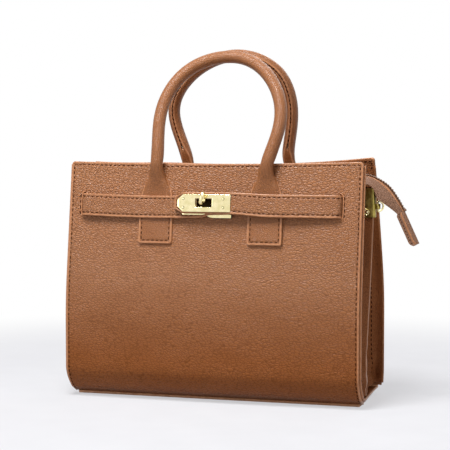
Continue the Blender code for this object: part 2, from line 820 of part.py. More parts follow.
def make_anchor(name, side, frame):
    """Sewn end of a strap: a tab behind the panel, a neck through the slot and a nose in front of it."""
    inside = -PANEL_WALL - GAP
    nose = STRAP_OUT + STRAP_WALL / 2
    half = ANCHOR_WALL / 2
    outline = [
        (-side * half, inside), (-side * ANCHOR_TAB, inside), (-side * ANCHOR_TAB, inside - ANCHOR_WALL),
        (side * half, inside - ANCHOR_WALL), (side * half, nose), (-side * ANCHOR_SETBACK, nose),
        (-side * ANCHOR_SETBACK, STRAP_OUT - STRAP_WALL / 2), (-side * half, STRAP_OUT - STRAP_WALL / 2),
    ]
    flipped = [(x, -y) for x, y in outline]
    plate(name, [flipped], -STRAP_HEIGHT / 2 + GAP, STRAP_HEIGHT - 2 * GAP, frame, LEATHER)


def make_lock(straps):
    """Three plates, one on the panel and one on each strap, and a turning knob through their slots."""
    frame = wall_frame(front_wall, 0, LOCK_HEIGHT)
    half = PLATE_HEIGHT / 2
    inner = rectangle(-INNER_PLATE_START, INNER_PLATE_END, half)
    outer = [
        (-PLATE_TIP, -PLATE_TIP_HALF), (-PLATE_SHOULDER, -half), (PLATE_END, -half), (PLATE_END, half),
        (-PLATE_SHOULDER, half), (-PLATE_TIP, PLATE_TIP_HALF),
    ]
    base_wall = CHAPE_WALL
    base = plate("lock_base_plate", [inner], GAP, base_wall, frame, BRASS)
    left_bottom = STRAP_OUT + STRAP_WALL / 2 + GAP
    right_bottom = left_bottom + STRAP_LAP
    left_plate = plate("lock_plate_left", [inner], left_bottom, PLATE_WALL, frame, BRASS)
    right_plate = plate("lock_plate_right", [outer], right_bottom, PLATE_WALL, frame, BRASS)

    slot = box_cutter(
        "lock_slot_cutter",
        (LOCK_SLOT_X - LOCK_SLOT_LENGTH / 2, LOCK_SLOT_RISE - LOCK_SLOT_HEIGHT / 2, GAP + base_wall),
        (LOCK_SLOT_X + LOCK_SLOT_LENGTH / 2, LOCK_SLOT_RISE + LOCK_SLOT_HEIGHT / 2, right_bottom + OVERRUN),
        frame,
    )
    for item in (*straps, left_plate, right_plate):
        cut(item, slot)

    spots = [(x, rise) for x in (-RIVET_LEFT, RIVET_RIGHT) for rise in (-RIVET_SPREAD, RIVET_SPREAD)]
    holes = round_bars(
        "rivet_hole_cutter", spots, RIVET_RADIUS + GAP, right_bottom - GAP / 2, right_bottom + OVERRUN,
        frame, None, collection=CUTTERS,
    )
    cut(right_plate, as_cutter(holes))
    rivet_top = right_bottom + PLATE_WALL + RIVET_PROUD
    for number, spot in enumerate(spots, 1):
        round_bars(f"lock_rivet_{number}", [spot], RIVET_RADIUS, right_bottom, rivet_top, frame, BRASS)

    stem = (LOCK_X, STEM_RISE)
    bore = round_bars(
        "stem_bore_cutter", [stem], STEM_RADIUS + GAP, GAP + base_wall / 2, right_bottom, frame, None,
        collection=CUTTERS,
    )
    cut(base, as_cutter(bore))
    knob_low = right_bottom + PLATE_WALL + GAP
    knob = round_bars(
        "turn_knob", [stem], STEM_RADIUS, GAP + base_wall / 2 + GAP, knob_low + KNOB_EYE, frame, BRASS,
    )
    join(knob, knob_head(stem, knob_low, frame))
    knob_axis = pivot("turn_knob_pivot", frame @ Vector((*stem, knob_low)))
    hang_from(knob, knob_axis)


def knob_head(stem, low, frame):
    """An upright loop on the stem's end: a flat eye with rounded ends and a round hole."""
    count = 8
    reach = KNOB_REACH
    end = reach / 2
    middle = low + end
    turns = [math.pi * index / count for index in range(count + 1)]
    upper = [(KNOB_UP - end + end * math.sin(turn), middle + end * math.cos(turn)) for turn in turns]
    lower = [(end - KNOB_DOWN - end * math.sin(turn), middle - end * math.cos(turn)) for turn in turns]
    outline = [(-out, rise) for rise, out in upper + lower]
    eye_rise = (KNOB_UP - KNOB_DOWN) / 2 + KNOB_EYE / 2
    eye = []
    for index in range(2 * count):
        turn = math.pi * index / count
        eye.append((-middle + KNOB_EYE * math.cos(turn), eye_rise + KNOB_EYE * math.sin(turn)))
    side = frame @ Matrix.Translation((stem[0], stem[1], 0)) @ Matrix.Rotation(math.pi / 2, 4, "Y")
    head = plate("turn_knob_head", [outline, eye], -KNOB_WALL / 2, KNOB_WALL, side, None, CUTTERS)
    return as_cutter(head)


# Gusset clips and rings

def make_clips():
    for side, hand in ((-1, "left"), (1, "right")):
        inner_x = CLIP_OUTER_X - CLIP_WALL
        back_x = CLIP_OUTER_X - CLIP_DEPTH
        face = CLIP_FACE
        outline = [
            (back_x, -face - CLIP_WALL), (CLIP_OUTER_X, -face - CLIP_WALL),
            (CLIP_OUTER_X, face + CLIP_WALL), (back_x, face + CLIP_WALL),
            (back_x, face), (inner_x, face), (inner_x, -face), (back_x, -face),
        ]
        frame = Matrix.Translation((0, CREST_Y, 0))
        tall = CLIP_TOP - CLIP_BOTTOM
        sided = [(side * x, y) for x, y in outline]
        clip = plate(f"gusset_clip_{hand}", [sided], CLIP_BOTTOM, tall, frame, BRASS)
        spot = (side * KNUCKLE_X, 0)
        low, high = RING_MIDDLE - KNUCKLE_HEIGHT / 2, RING_MIDDLE + KNUCKLE_HEIGHT / 2
        outer = round_bars(
            f"knuckle_{hand}", [spot], KNUCKLE_BORE + KNUCKLE_WALL, low, high, frame, None,
            collection=CUTTERS,
        )
        join(clip, as_cutter(outer))
        bore = round_bars(
            f"knuckle_bore_{hand}", [spot], KNUCKLE_BORE, low - OVERRUN, high + OVERRUN, frame, None,
            collection=CUTTERS,
        )
        cut(clip, as_cutter(bore))

        screw_frame = Matrix.Translation((0, CREST_Y, 0)) @ Matrix.Rotation(math.pi / 2, 4, "X")
        screw = (side * (CLIP_OUTER_X - CLIP_SCREW_INSET), CLIP_BOTTOM + CLIP_SCREW_RISE)
        out = face + CLIP_WALL + GAP
        round_bars(
            f"clip_screw_{hand}", [screw], CLIP_SCREW_RADIUS, out, out + CLIP_SCREW_HEAD,
            screw_frame, BRASS, 16,
        )
        make_ring(side, hand)


def make_ring(side, hand):
    """A D-shaped ring whose straight bar turns in the clip's knuckle. It rests swung towards the rear."""
    half = RING_HEIGHT / 2
    count = 8
    turns = [math.pi * (index / count - 0.5) for index in range(count + 1)]
    loop = [(RING_REACH * math.cos(turn), half * math.sin(turn)) for turn in turns]
    direction = Vector((side * math.cos(RING_REST), math.sin(RING_REST), 0))
    centre = Vector((side * KNUCKLE_X, CREST_Y, RING_MIDDLE))
    points = [centre + direction * reach + Vector((0, 0, rise)) for reach, rise in loop]
    ring = tube(f"d_ring_{hand}", points, RING_WIRE, BRASS, cyclic=True)
    hang_from(ring, pivot(f"d_ring_{hand}_pivot", centre))


# Zip closure

def zip_frame():
    return Matrix.Translation((0, ZIP_Y, ZIP_HEIGHT))


def make_zip():
    frame = zip_frame()
    for toward, end in ((-1, "front"), (1, "rear")):
        hinge = toward * FLAP_WIDTH
        rim = toward * GAP
        flap = [(-ZIP_LEFT, hinge), (ZIP_RIGHT, hinge), (ZIP_RIGHT, rim), (-ZIP_LEFT, rim)]
        leaf = plate(f"zip_flap_{end}", [flap], -FLAP_WALL / 2, FLAP_WALL, frame, LEATHER)
        step = box_cutter(
            f"tape_cutter_{end}",
            (-ZIP_LEFT - OVERRUN, min(toward * TAPE_WIDTH, -toward * OVERRUN), FLAP_WALL / 2 - TAPE_WALL),
            (ZIP_RIGHT + OVERRUN, max(toward * TAPE_WIDTH, -toward * OVERRUN), FLAP_WALL / 2 + OVERRUN),
            frame,
        )
        cut(leaf, step)
        comb = plate(
            f"zip_teeth_{end}", [tooth_outline(toward)], FLAP_WALL / 2 - TAPE_WALL + GAP, TOOTH_WALL,
            frame, ZIP,
        )
        axis = pivot(f"zip_flap_{end}_pivot", (0, ZIP_Y + hinge - toward * FLAP_WALL / 2, ZIP_HEIGHT))
        hang_from(leaf, axis)
        hang_from(comb, axis)
        make_facing(toward, end)
    make_end_piece()
    make_slider()


def tooth_outline(toward):
    """Comb of teeth along the flap's edge. The rear comb's teeth stand in the front comb's gaps."""
    tooth = TOOTH_PITCH / 2 - GAP
    start = -ZIP_LEFT + GAP + (0 if toward < 0 else TOOTH_PITCH / 2)
    back, root, reach = toward * TOOTH_BACK, toward * TOOTH_ROOT, -toward * TOOTH_REACH
    outline = [(-ZIP_LEFT + GAP, back)]
    for index in range(int((ZIP_RIGHT + ZIP_LEFT - TOOTH_PITCH) / TOOTH_PITCH)):
        x = start + index * TOOTH_PITCH
        outline += [(x, root), (x, reach), (x + tooth, reach), (x + tooth, root)]
    outline.append((ZIP_RIGHT - GAP, root))
    outline.append((ZIP_RIGHT - GAP, back))
    return outline


def make_facing(toward, end):
    """Leather strip from the rim's inner face down to the flap's hinge line."""
    wall, rim = (front_wall, front_rim) if toward < 0 else (rear_wall, rear_rim)
    inside = PANEL_WALL + GAP + FLAP_WALL / 2
    hinge_y = ZIP_Y + toward * (FLAP_WIDTH + GAP)

    def place(u, v):
        x = mix(-FACING_END, FACING_END, u)
        if v == 1:
            return off_wall(wall, x, rim(x) - PANEL_WALL, -inside)
        corner = off_wall(wall, x, ZIP_HEIGHT, -inside)
        return Vector((x, mix(hinge_y, corner.y, v * 2), corner.z))

    sheet(f"zip_facing_{end}", place, 12, 2, FLAP_WALL, LEATHER)


def make_end_piece():
    """Fixed piece at the closed zip's left end, which the slider rests on."""
    right = -ZIP_LEFT - GAP
    outline = rectangle(right - END_PIECE_LENGTH, right, FLAP_WIDTH)
    plate("zip_end_left", [outline], -FLAP_WALL / 2, FLAP_WALL - TAPE_WALL, zip_frame(), LEATHER)


def slider_x():
    return -ZIP_LEFT - GAP - SLIDER_LENGTH / 2 - GAP


def make_slider():
    """Slider over the teeth, with a raised lug that holds its pull."""
    frame = Matrix.Translation((slider_x(), ZIP_Y, ZIP_HEIGHT))
    half, wide = SLIDER_LENGTH / 2, SLIDER_WIDTH / 2
    skirt = FLAP_WALL / 2 - TAPE_WALL + GAP
    roof = skirt + TOOTH_WALL + GAP
    inner = wide - SLIDER_WALL
    across_frame = frame @ Matrix.Rotation(math.pi / 2, 4, "X") @ Matrix.Rotation(math.pi / 2, 4, "Y")
    section = [
        (-wide, skirt), (-inner, skirt), (-inner, roof), (inner, roof), (inner, skirt), (wide, skirt),
        (wide, roof + SLIDER_WALL), (-wide, roof + SLIDER_WALL),
    ]
    slider = plate("zip_slider", [section], -half, SLIDER_LENGTH, across_frame, BRASS)
    pull_level = roof + SLIDER_WALL + PULL_WALL
    span = half - SLIDER_WALL
    inner_span = span - SLIDER_WALL
    foot, crown = roof + SLIDER_WALL / 2, pull_level + 2 * PULL_WALL
    inner_crown = crown - PULL_WALL
    arch = [
        (-span, foot), (-span, crown), (span, crown), (span, foot),
        (inner_span, foot), (inner_span, inner_crown), (-inner_span, inner_crown), (-inner_span, foot),
    ]
    lug_frame = frame @ Matrix.Rotation(math.pi / 2, 4, "X")
    lug = plate("slider_lug", [arch], -SLIDER_LUG / 3, 2 * SLIDER_LUG / 3, lug_frame, None, CUTTERS)
    join(slider, as_cutter(lug))

    bar = PULL_WALL / 2 + GAP / 2
    eye_half = SLIDER_LUG / 3 + 2 * GAP
    eye_end = SLIDER_LENGTH / 2 + SLIDER_WALL
    blade = rectangle(-PULL_LENGTH, bar, PULL_WIDTH / 2)
    eye = rectangle(-eye_end, -bar, eye_half)
    pull = plate("zip_pull", [blade, eye], pull_level - PULL_WALL / 2, PULL_WALL, frame, BRASS)
    hang_from(pull, pivot("zip_pull_pivot", frame @ Vector((0, 0, pull_level))))


# Zip tail

def tail_ridge(share):
    """Ridge point of the tail at this share of its length, in the plane of the zip."""
    run, fall = table(TAIL_ROUTE_SHARES, share)
    return Vector((TAIL_ROOT + run * TAIL_RUN, ZIP_Y, ZIP_HEIGHT + TOOTH_WALL - fall * TAIL_FALL))


def tail_down(share):
    """Direction from the ridge to the tail's hollow side."""
    step = 0.01
    along = (tail_ridge(min(share + step, 1)) - tail_ridge(max(share - step, 0))).normalized()
    return Vector((along.z, 0, -along.x))


def folded_point(ridge, down, spread, drop, across_share):
    """Point across an upside-down V. The share runs from the front edge over the ridge to the rear edge."""
    lean = 2 * across_share - 1
    return ridge + Vector((0, lean * spread, 0)) + down * (drop * abs(lean) ** TUCK_POWER)


def make_tail():
    def tape(u, v):
        down = tail_down(u)
        drop = TAIL_DROP * table_value(TAIL_DROP_SHARES, u)
        spread = TAIL_HALF * table_value(TAIL_SPREAD_SHARES, u)
        return folded_point(tail_ridge(u), down, spread, drop, v)

    tail = sheet("zip_tail", tape, 14, 6, TAIL_WALL, CLOTH)
    rings = []
    count = 14
    for index in range(count + 1):
        share = index / count
        down = tail_down(share)
        low = tail_ridge(share) - down * (TAIL_WALL / 2 + GAP)
        high = low - down * TOOTH_WALL
        half = Vector((0, TAIL_CHAIN / 2, 0))
        rings.append([low - half, low + half, high + half, high - half])
    chain = loft("zip_tail_chain", rings, ZIP)

    along = Vector((TAB_LEAN_SHARE, 0, -1)).normalized()
    down = Vector((along.z, 0, -along.x))
    start = tail_ridge(1) + along * (GAP + TAIL_WALL)

    def tab_point(u, v):
        return folded_point(start + along * (u * TAB_LENGTH), down, TAB_WIDTH / 4, TAB_WALL, v)

    tab = sheet("zip_tab", tab_point, 2, 6, TAIL_WALL, LEATHER)
    axis = pivot("zip_tail_pivot", (TAIL_ROOT, ZIP_Y, ZIP_HEIGHT))
    for item in (tail, chain, tab):
        hang_from(item, axis)


def table_value(shares, where):
    return table([(value, 0) for value in shares], where).x


for existing in list(bpy.data.objects):
    bpy.data.objects.remove(existing)
PARTS = new_collection("handbag")
CUTTERS = new_collection("handbag_cutters")
CUTTERS.hide_render = True

LEATHER = new_finish("caramel_leather", (0.40, 0.17, 0.07), 0.5)
EDGE = new_finish("painted_edge", (0.48, 0.24, 0.12), 0.45)
CLOTH = new_finish("lining_cloth", (0.16, 0.07, 0.03), 0.9)
BOARD = new_finish("grey_board", (0.3, 0.27, 0.24), 0.9)
CORD = new_finish("rope_core", (0.75, 0.7, 0.6), 0.9)
BRASS = new_finish("pale_brass", (0.83, 0.7, 0.36), 0.2, 1.0)
ZIP = new_finish("zip_coil", (0.1, 0.045, 0.02), 0.5)

make_panels()
make_base()
make_gussets()
make_lining()
make_chapes()
make_handles()
make_lock(make_straps())
make_clips()
make_zip()
make_tail()
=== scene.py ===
"""Caramel leather handbag in a plain studio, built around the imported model.

The stiff panels, folded gussets, rolled handles, belt, turning lock, zip and hanging zip tail are modelled here in
full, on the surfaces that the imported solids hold. All lengths are metres, written as a number times MM.
"""

import json
import logging
import math
from collections.abc import Callable, Sequence
from dataclasses import dataclass, field, replace
from enum import Enum

import bmesh
import bpy
from mathutils import Matrix, Vector, noise

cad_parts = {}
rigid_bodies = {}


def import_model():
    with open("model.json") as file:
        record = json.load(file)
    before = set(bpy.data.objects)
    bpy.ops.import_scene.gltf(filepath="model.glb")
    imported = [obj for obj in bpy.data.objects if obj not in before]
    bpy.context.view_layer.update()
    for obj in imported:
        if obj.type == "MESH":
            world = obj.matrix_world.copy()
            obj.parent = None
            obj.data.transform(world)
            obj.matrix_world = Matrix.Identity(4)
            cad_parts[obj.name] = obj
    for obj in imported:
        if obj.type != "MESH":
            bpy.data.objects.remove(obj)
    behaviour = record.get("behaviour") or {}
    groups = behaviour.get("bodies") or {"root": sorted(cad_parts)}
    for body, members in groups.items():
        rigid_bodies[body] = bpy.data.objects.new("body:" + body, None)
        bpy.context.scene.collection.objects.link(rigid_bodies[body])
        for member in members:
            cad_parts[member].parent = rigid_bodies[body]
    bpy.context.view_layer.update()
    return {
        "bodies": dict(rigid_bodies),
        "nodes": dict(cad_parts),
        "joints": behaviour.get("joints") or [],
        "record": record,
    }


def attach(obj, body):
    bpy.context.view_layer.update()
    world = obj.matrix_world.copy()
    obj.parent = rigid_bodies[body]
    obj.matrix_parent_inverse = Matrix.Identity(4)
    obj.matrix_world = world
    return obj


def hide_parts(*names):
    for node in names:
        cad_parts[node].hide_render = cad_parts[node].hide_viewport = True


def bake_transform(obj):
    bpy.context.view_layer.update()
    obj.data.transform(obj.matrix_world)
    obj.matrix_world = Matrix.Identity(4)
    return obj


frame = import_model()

LOG = logging.getLogger("handbag")
MM = 0.001
PER_MM = (1 / MM,) * 3
ZIP_MIDDLE = -12 * MM
PANEL_WALL = 2.4 * MM
WELD = 0.02 * MM
WHITE = (1, 1, 1, 1)
ENDLESS = (-math.inf, -math.inf), (math.inf, math.inf)
# The domes that close a tube, as shares of its radius
DOME_INSET, DOME_RISE = 0.35, 0.25

Place = Callable[[float, float], Vector]
Test = Callable[[float, float], bool]
Colour = tuple[float, float, float, float]
Line = tuple[Sequence[Vector], Sequence[Vector]]
BMesh = bmesh.types.BMesh
Tree = bpy.types.NodeTree
Node = bpy.types.Node


class Signed(Enum):
    """Members whose value is a sign on one of the bag's axes."""

    @property
    def word(self) -> str:
        """The member's name in the names of pieces."""
        return self.name.lower()


class Wall(Signed):
    """The two stiff panels of the bag. The value is the sign of Y."""

    FRONT = -1
    REAR = 1


class Side(Signed):
    """Left and right as the camera sees the bag. The value is the sign of X."""

    LEFT = -1
    RIGHT = 1


# Numbers and curves

def clamp(value: float) -> float:
    """Limits a value to the range from 0 to 1."""
    return min(max(value, 0.0), 1.0)


def smooth(value: float) -> float:
    """Eases a share in and out."""
    value = clamp(value)
    return value * value * (3 - 2 * value)


def mix(first: float, last: float, share: float) -> float:
    """Blends two numbers."""
    return first + (last - first) * share


def lookup(rows: Sequence[tuple[float, float]], where: float) -> float:
    """Reads a table of (place, value) rows with straight lines between them.

    Args:
        rows: Rows in rising order of place.
        where: The place to read.

    Returns:
        The value there, or the first or last value beyond the table's ends.
    """
    if where <= rows[0][0]:
        return rows[0][1]
    for (low, first), (high, last) in zip(rows, rows[1:]):
        if where <= high:
            return mix(first, last, (where - low) / (high - low))
    return rows[-1][1]


def spline(points: Sequence[Sequence[float]], where: float) -> Vector:
    """Reads a Catmull-Rom curve through evenly spaced points.

    Args:
        points: The points, of two or three numbers each.
        where: Share of the curve's length of points, from 0 to 1.

    Returns:
        The point at that share.
    """
    last = len(points) - 1
    place = clamp(where) * last
    index = min(int(place), last - 1)
    part = place - index
    a, b, c, d = (Vector(points[min(max(index + step, 0), last)]) for step in (-1, 0, 1, 2))
    return 0.5 * (2 * b + (c - a) * part + (2 * a - 5 * b + 4 * c - d) * part**2 + (3 * b - 3 * c + d - a) * part**3)


def in_mm(rows: Sequence[Sequence[float]]) -> tuple[tuple[float, ...], ...]:
    """Turns rows of millimetres into rows of metres."""
    return tuple(tuple(value * MM for value in row) for row in rows)


def relaxed(points: list[Vector], passes: int) -> list[Vector]:
    """Evens out the bends between points and keeps the two ends."""
    for _ in range(passes):
        inner = [(a + b * 2 + c) / 4 for a, b, c in zip(points, points[1:], points[2:])]
        points = [points[0], *inner, points[-1]]
    return points


# Shape of the bag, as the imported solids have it

@dataclass(frozen=True)
class BagForm:
    """Outer faces of the two panels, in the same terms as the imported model's source."""

    half: float = 145 * MM
    rim: float = 229.2 * MM
    rim_sag: float = 2.0 * MM
    rear_rim: float = 233.5 * MM
    rear_rim_sag: float = 7.4 * MM
    rear_drop: float = 4.4 * MM
    drop_start: float = 60 * MM
    belly: float = 97 * MM
    front_belly: float = 59.3 * MM
    front_rim: float = 41.6 * MM
    front_foot: float = 36 * MM
    front_tuck: float = 26 * MM
    front_bow: float = 4 * MM
    rear_belly: float = 60 * MM
    rear_rim_depth: float = 12.8 * MM
    rear_foot_depth: float = 53 * MM
    rear_tuck: float = 16 * MM
    rear_bow: float = 7 * MM
    rear_rim_bow: float = 28.5 * MM
    foot_lift: float = 2.5 * MM
    corner_lift: float = 4.5 * MM
    corner_run: float = 45 * MM
    lean_blend: float = 25 * MM
    tuck_power: float = 1.5
    lean_power: float = 1.2

    def across(self, x: float) -> float:
        """1 in the middle of the width and 0 at the side edges."""
        return 1 - (x / self.half) ** 2

    def tuck(self, rise: float, height: float) -> float:
        """Share of the wall's full depth at this rise above its foot."""
        return (1 - (1 - clamp(rise / height)) ** self.tuck_power) ** (1 / self.tuck_power)

    def soft_rise(self, height: float) -> float:
        """How far a height is above the belly, with a rounded knee."""
        rise = height - self.belly
        if rise >= self.lean_blend:
            return rise
        return max(rise + self.lean_blend, 0) ** 2 / (4 * self.lean_blend)

    def lift(self, x: float) -> float:
        """Rise of the rear base edge towards its corners."""
        return self.corner_lift * smooth((abs(x) - self.half + self.corner_run) / self.corner_run)

    def top(self, wall: Wall, x: float) -> float:
        """Height of a panel's rim."""
        if wall is Wall.FRONT:
            return self.rim - self.rim_sag * self.across(x)
        left_drop = self.rear_drop * smooth((-x - self.drop_start) / (self.half - self.drop_start))
        return self.rear_rim - self.rear_rim_sag * self.across(x) - left_drop

    def foot(self, wall: Wall, x: float) -> float:
        """Height of a panel's lower edge."""
        return self.foot_lift if wall is Wall.FRONT else self.foot_lift + self.lift(x)

    def face(self, wall: Wall, x: float, z: float) -> Vector:
        """Point of a panel's outer face."""
        if wall is Wall.FRONT:
            share = self.tuck(z - self.foot_lift, self.front_tuck)
            depth = mix(self.front_foot, self.front_belly, share) + self.front_bow * self.across(x) * share
            lean = (self.front_belly - self.front_rim) / (self.rim - self.belly)
            return Vector((x, lean * self.soft_rise(z) - depth, z))
        share = self.tuck(z - self.foot(wall, x), self.rear_tuck)
        rise = self.soft_rise(z) / (self.rear_rim - self.belly)
        depth = mix(self.rear_foot_depth, self.rear_belly, share)
        depth -= (self.rear_belly - self.rear_rim_depth) * rise**self.lean_power
        depth += self.across(x) * share * mix(self.rear_bow, self.rear_rim_bow, rise**self.tuck_power)
        return Vector((x, depth, z))

    def normal(self, wall: Wall, x: float, z: float) -> Vector:
        """Normal of a panel, pointing out of the bag."""
        step = 0.05 * MM
        along = self.face(wall, x + step, z) - self.face(wall, x - step, z)
        up = self.face(wall, x, z + step) - self.face(wall, x, z)
        return along.cross(up).normalized() * -wall.value

    def off(self, wall: Wall, x: float, z: float, out: float) -> Vector:
        """Point at this distance outside a panel's outer face. A negative distance is inside."""
        return self.face(wall, x, z) + self.normal(wall, x, z) * out

    def frame(self, wall: Wall, x: float, z: float) -> Matrix:
        """Frame on a panel: X along the width, Y up the panel, Z out of it."""
        out = self.normal(wall, x, z)
        up = out.cross(Vector((-wall.value, 0, 0))).normalized()
        matrix = Matrix((up.cross(out), up, out)).transposed().to_4x4()
        matrix.translation = self.face(wall, x, z)
        return matrix


FORM = BagForm()


# Materials

def linear(code: str) -> Colour:
    """Linear colour of an sRGB hex code such as #A9744F."""
    parts = [int(code[start:start + 2], 16) / 255 for start in (1, 3, 5)]
    red, green, blue = (part / 12.92 if part <= 0.04045 else ((part + 0.055) / 1.055) ** 2.4 for part in parts)
    return (red, green, blue, 1.0)


def grey(value: float) -> Colour:
    """A grey for a ramp that carries a plain number."""
    return (value, value, value, 1.0)


def feed(tree: Tree, node: Node, inputs: dict) -> None:
    """Links or sets a node's inputs.

    Args:
        tree: The node's tree.
        node: The node.
        inputs: Input name or number to a plain value, a socket, or a node, which stands for its first output.
    """
    for name, value in inputs.items():
        source = value.outputs[0] if isinstance(value, Node) else value
        if isinstance(source, bpy.types.NodeSocket):
            tree.links.new(source, node.inputs[name])
        else:
            node.inputs[name].default_value = source


def add_node(tree: Tree, kind: str, inputs: dict, **settings) -> Node:
    """Adds a shader node.

    Args:
        tree: The tree that gets the node.
        kind: The node's type without its ShaderNode start, such as TexNoise.
        inputs: What feeds its inputs.
        settings: Properties of the node.

    Returns:
        The new node.
    """
    node = tree.nodes.new("ShaderNode" + kind)
    for name, value in settings.items():
        setattr(node, name, value)
    feed(tree, node, inputs)
    return node


def add_ramp(tree: Tree, source: Node | bpy.types.NodeSocket, stops: Sequence[tuple[float, Colour]]) -> Node:
    """Adds a colour ramp with these stops."""
    node = add_node(tree, "ValToRGB", {0: source})
    elements = node.color_ramp.elements
    while len(elements) < len(stops):
        elements.new(0.5)
    for element, (place, colour) in zip(elements, stops):
        element.position = place
        element.color = colour
    return node


def remap(
    tree: Tree, source: Node | bpy.types.NodeSocket, span: tuple[float, float], onto: tuple[float, float], **settings,
) -> Node:
    """Adds a node that maps one span of values onto another and stops at its ends."""
    return add_node(tree, "MapRange", {"Value": source, 1: span[0], 2: span[1], 3: onto[0], 4: onto[1]}, **settings)


def object_place(tree: Tree) -> bpy.types.NodeSocket:
    """Socket of the place in the object's own metres."""
    return add_node(tree, "TexCoord", {}).outputs["Object"]


def mapped(tree: Tree, scale: Sequence[float], turn: Sequence[float] = (0, 0, 0)) -> bpy.types.NodeSocket:
    """Object coordinates in metres, turned and scaled, as a vector socket."""
    return add_node(tree, "Mapping", {"Vector": object_place(tree), "Scale": scale, "Rotation": turn}).outputs[0]


def any_ray(tree: Tree, *kinds: str) -> bpy.types.NodeSocket:
    """Socket that is 1 for rays of any of these kinds and 0 for all others."""
    path = add_node(tree, "LightPath", {})
    found = path.outputs[kinds[0]]
    for kind in kinds[1:]:
        found = add_node(tree, "Math", {0: found, 1: path.outputs[kind]}, operation="MAXIMUM").outputs[0]
    return found


@dataclass(frozen=True)
class Finish:
    """A make of surface, with a pattern that runs between two colours."""

    name: str
    base: str
    accent: str

    def build(self) -> bpy.types.Material:
        """Makes the material."""
        material = bpy.data.materials.new(self.name)
        material.use_nodes = True
        tree = material.node_tree
        feed(tree, tree.nodes["Principled BSDF"], self.inputs(tree))
        return material

    def inputs(self, tree: Tree) -> dict:
        """Adds the pattern's nodes and gives the shader's inputs."""
        raise NotImplementedError

    def colours(self, tree: Tree, source: Node | bpy.types.NodeSocket, low: float, high: float) -> Node:
        """Ramp from the accent colour at a low value to the base colour at a high one."""
        return add_ramp(tree, source, ((low, linear(self.accent)), (high, linear(self.base))))


@dataclass(frozen=True)
class PebbledLeather(Finish):
    """Embossed calf leather. The press leaves soft long pebbles with creases between them, painted darker as shade.

    A satin coat lies over the pebbles, so their tops catch a broad soft shine and the creases stay dull. The pebble
    is the real one's width, about 2 mm on the panels. The accent colour is the painted shade in the creases.
    """

    light: str
    pebble: float = 2.1 * MM
    stretch: float = 1.7
    relief: float = 0.44 * MM
    strength: float = 0.95
    roughness: float = 0.42
    lean: float = math.radians(24)
    ior: float = 1.46
    # Colour multiplied in toward the foot of the wall: painted shade
    foot_tone: str = "#FFFFFF"
    foot_coat: float = 0.5
    foot_from: float = 120 * MM
    foot_full: float = 40 * MM

    def inputs(self, tree: Tree) -> dict:
        """Adds long pebbles, a fine texture over them, painted shade in the creases and slow patches of tone."""
        per = 1 / self.pebble
        vector = mapped(tree, (per / self.stretch, per, per), (0, self.lean, 0))
        # Bending the cells keeps the pebbles from looking like honeycomb
        drift = add_node(tree, "TexNoise", {"Vector": vector, "Scale": 0.6, "Detail": 2.0})
        bent = add_node(
            tree, "MixRGB", {"Fac": 0.5, "Color1": vector, "Color2": drift.outputs["Color"]}, blend_type="ADD",
        )
        cells = add_node(
            tree, "TexVoronoi", {"Vector": bent, "Scale": 1.0, "Randomness": 1.0}, feature="DISTANCE_TO_EDGE",
        )
        pebbles = add_ramp(tree, cells.outputs["Distance"], ((0.0, grey(0.0)), (0.16, grey(0.75)), (0.4, grey(1.0))))
        fine = add_node(tree, "TexNoise", {"Vector": vector, "Scale": 2.2, "Detail": 2.0, "Roughness": 0.55})
        height = add_node(tree, "Math", {0: fine, 1: 0.8, 2: pebbles}, operation="MULTIPLY_ADD")
        patches = add_node(tree, "TexNoise", {"Vector": vector, "Scale": 0.07, "Detail": 2.0})
        depth = remap(tree, patches, (0.35, 0.65), (0.7 * self.strength, self.strength))
        tone = add_ramp(tree, patches, ((0.35, linear(self.base)), (0.68, linear(self.light))))
        # The creases take the accent colour: painted shade
        crease_shade = add_ramp(tree, pebbles, ((0.0, grey(0.35)), (0.6, grey(1.0))))
        colour = add_node(tree, "MixRGB", {"Fac": crease_shade, "Color1": linear(self.accent), "Color2": tone})
        # Toward the foot of the wall the colour is multiplied darker, painted shade, and the satin coat thinner, so it
        # is less hazy there
        height_up = add_node(tree, "SeparateXYZ", {0: object_place(tree)}).outputs["Z"]
        low = remap(tree, height_up, (self.foot_from, self.foot_full), (0.0, 1.0))
        foot_shaded = add_node(
            tree, "MixRGB", {"Fac": low, "Color1": colour, "Color2": linear(self.foot_tone)}, blend_type="MULTIPLY",
        )
        return {
            "Base Color": foot_shaded,
            "Roughness": remap(tree, height, (0.2, 1.4), (self.roughness + 0.12, self.roughness - 0.08)),
            "Normal": add_node(tree, "Bump", {"Height": height, "Strength": depth, "Distance": self.relief}),
            "Specular IOR Level": remap(tree, low, (0.0, 1.0), (0.5, self.foot_coat)),
            "IOR": self.ior,
        }


@dataclass(frozen=True)
class EdgePaint(Finish):
    """Acrylic edge paint, laid on thick and polished, so it is smooth and a little lighter than the leather.

    The accent colour is that of the thinner runs between the brush's strokes.
    """

    roughness: float = 0.38

    def inputs(self, tree: Tree) -> dict:
        """Adds soft runs of paint, about 4 mm long."""
        flow = add_node(tree, "TexNoise", {"Vector": mapped(tree, PER_MM), "Scale": 0.25, "Detail": 4.0})
        return {
            "Base Color": self.colours(tree, flow, 0.3, 0.6),
            "Normal": add_node(tree, "Bump", {"Height": flow, "Strength": 0.25, "Distance": 0.2 * MM}),
            "Roughness": self.roughness,
        }


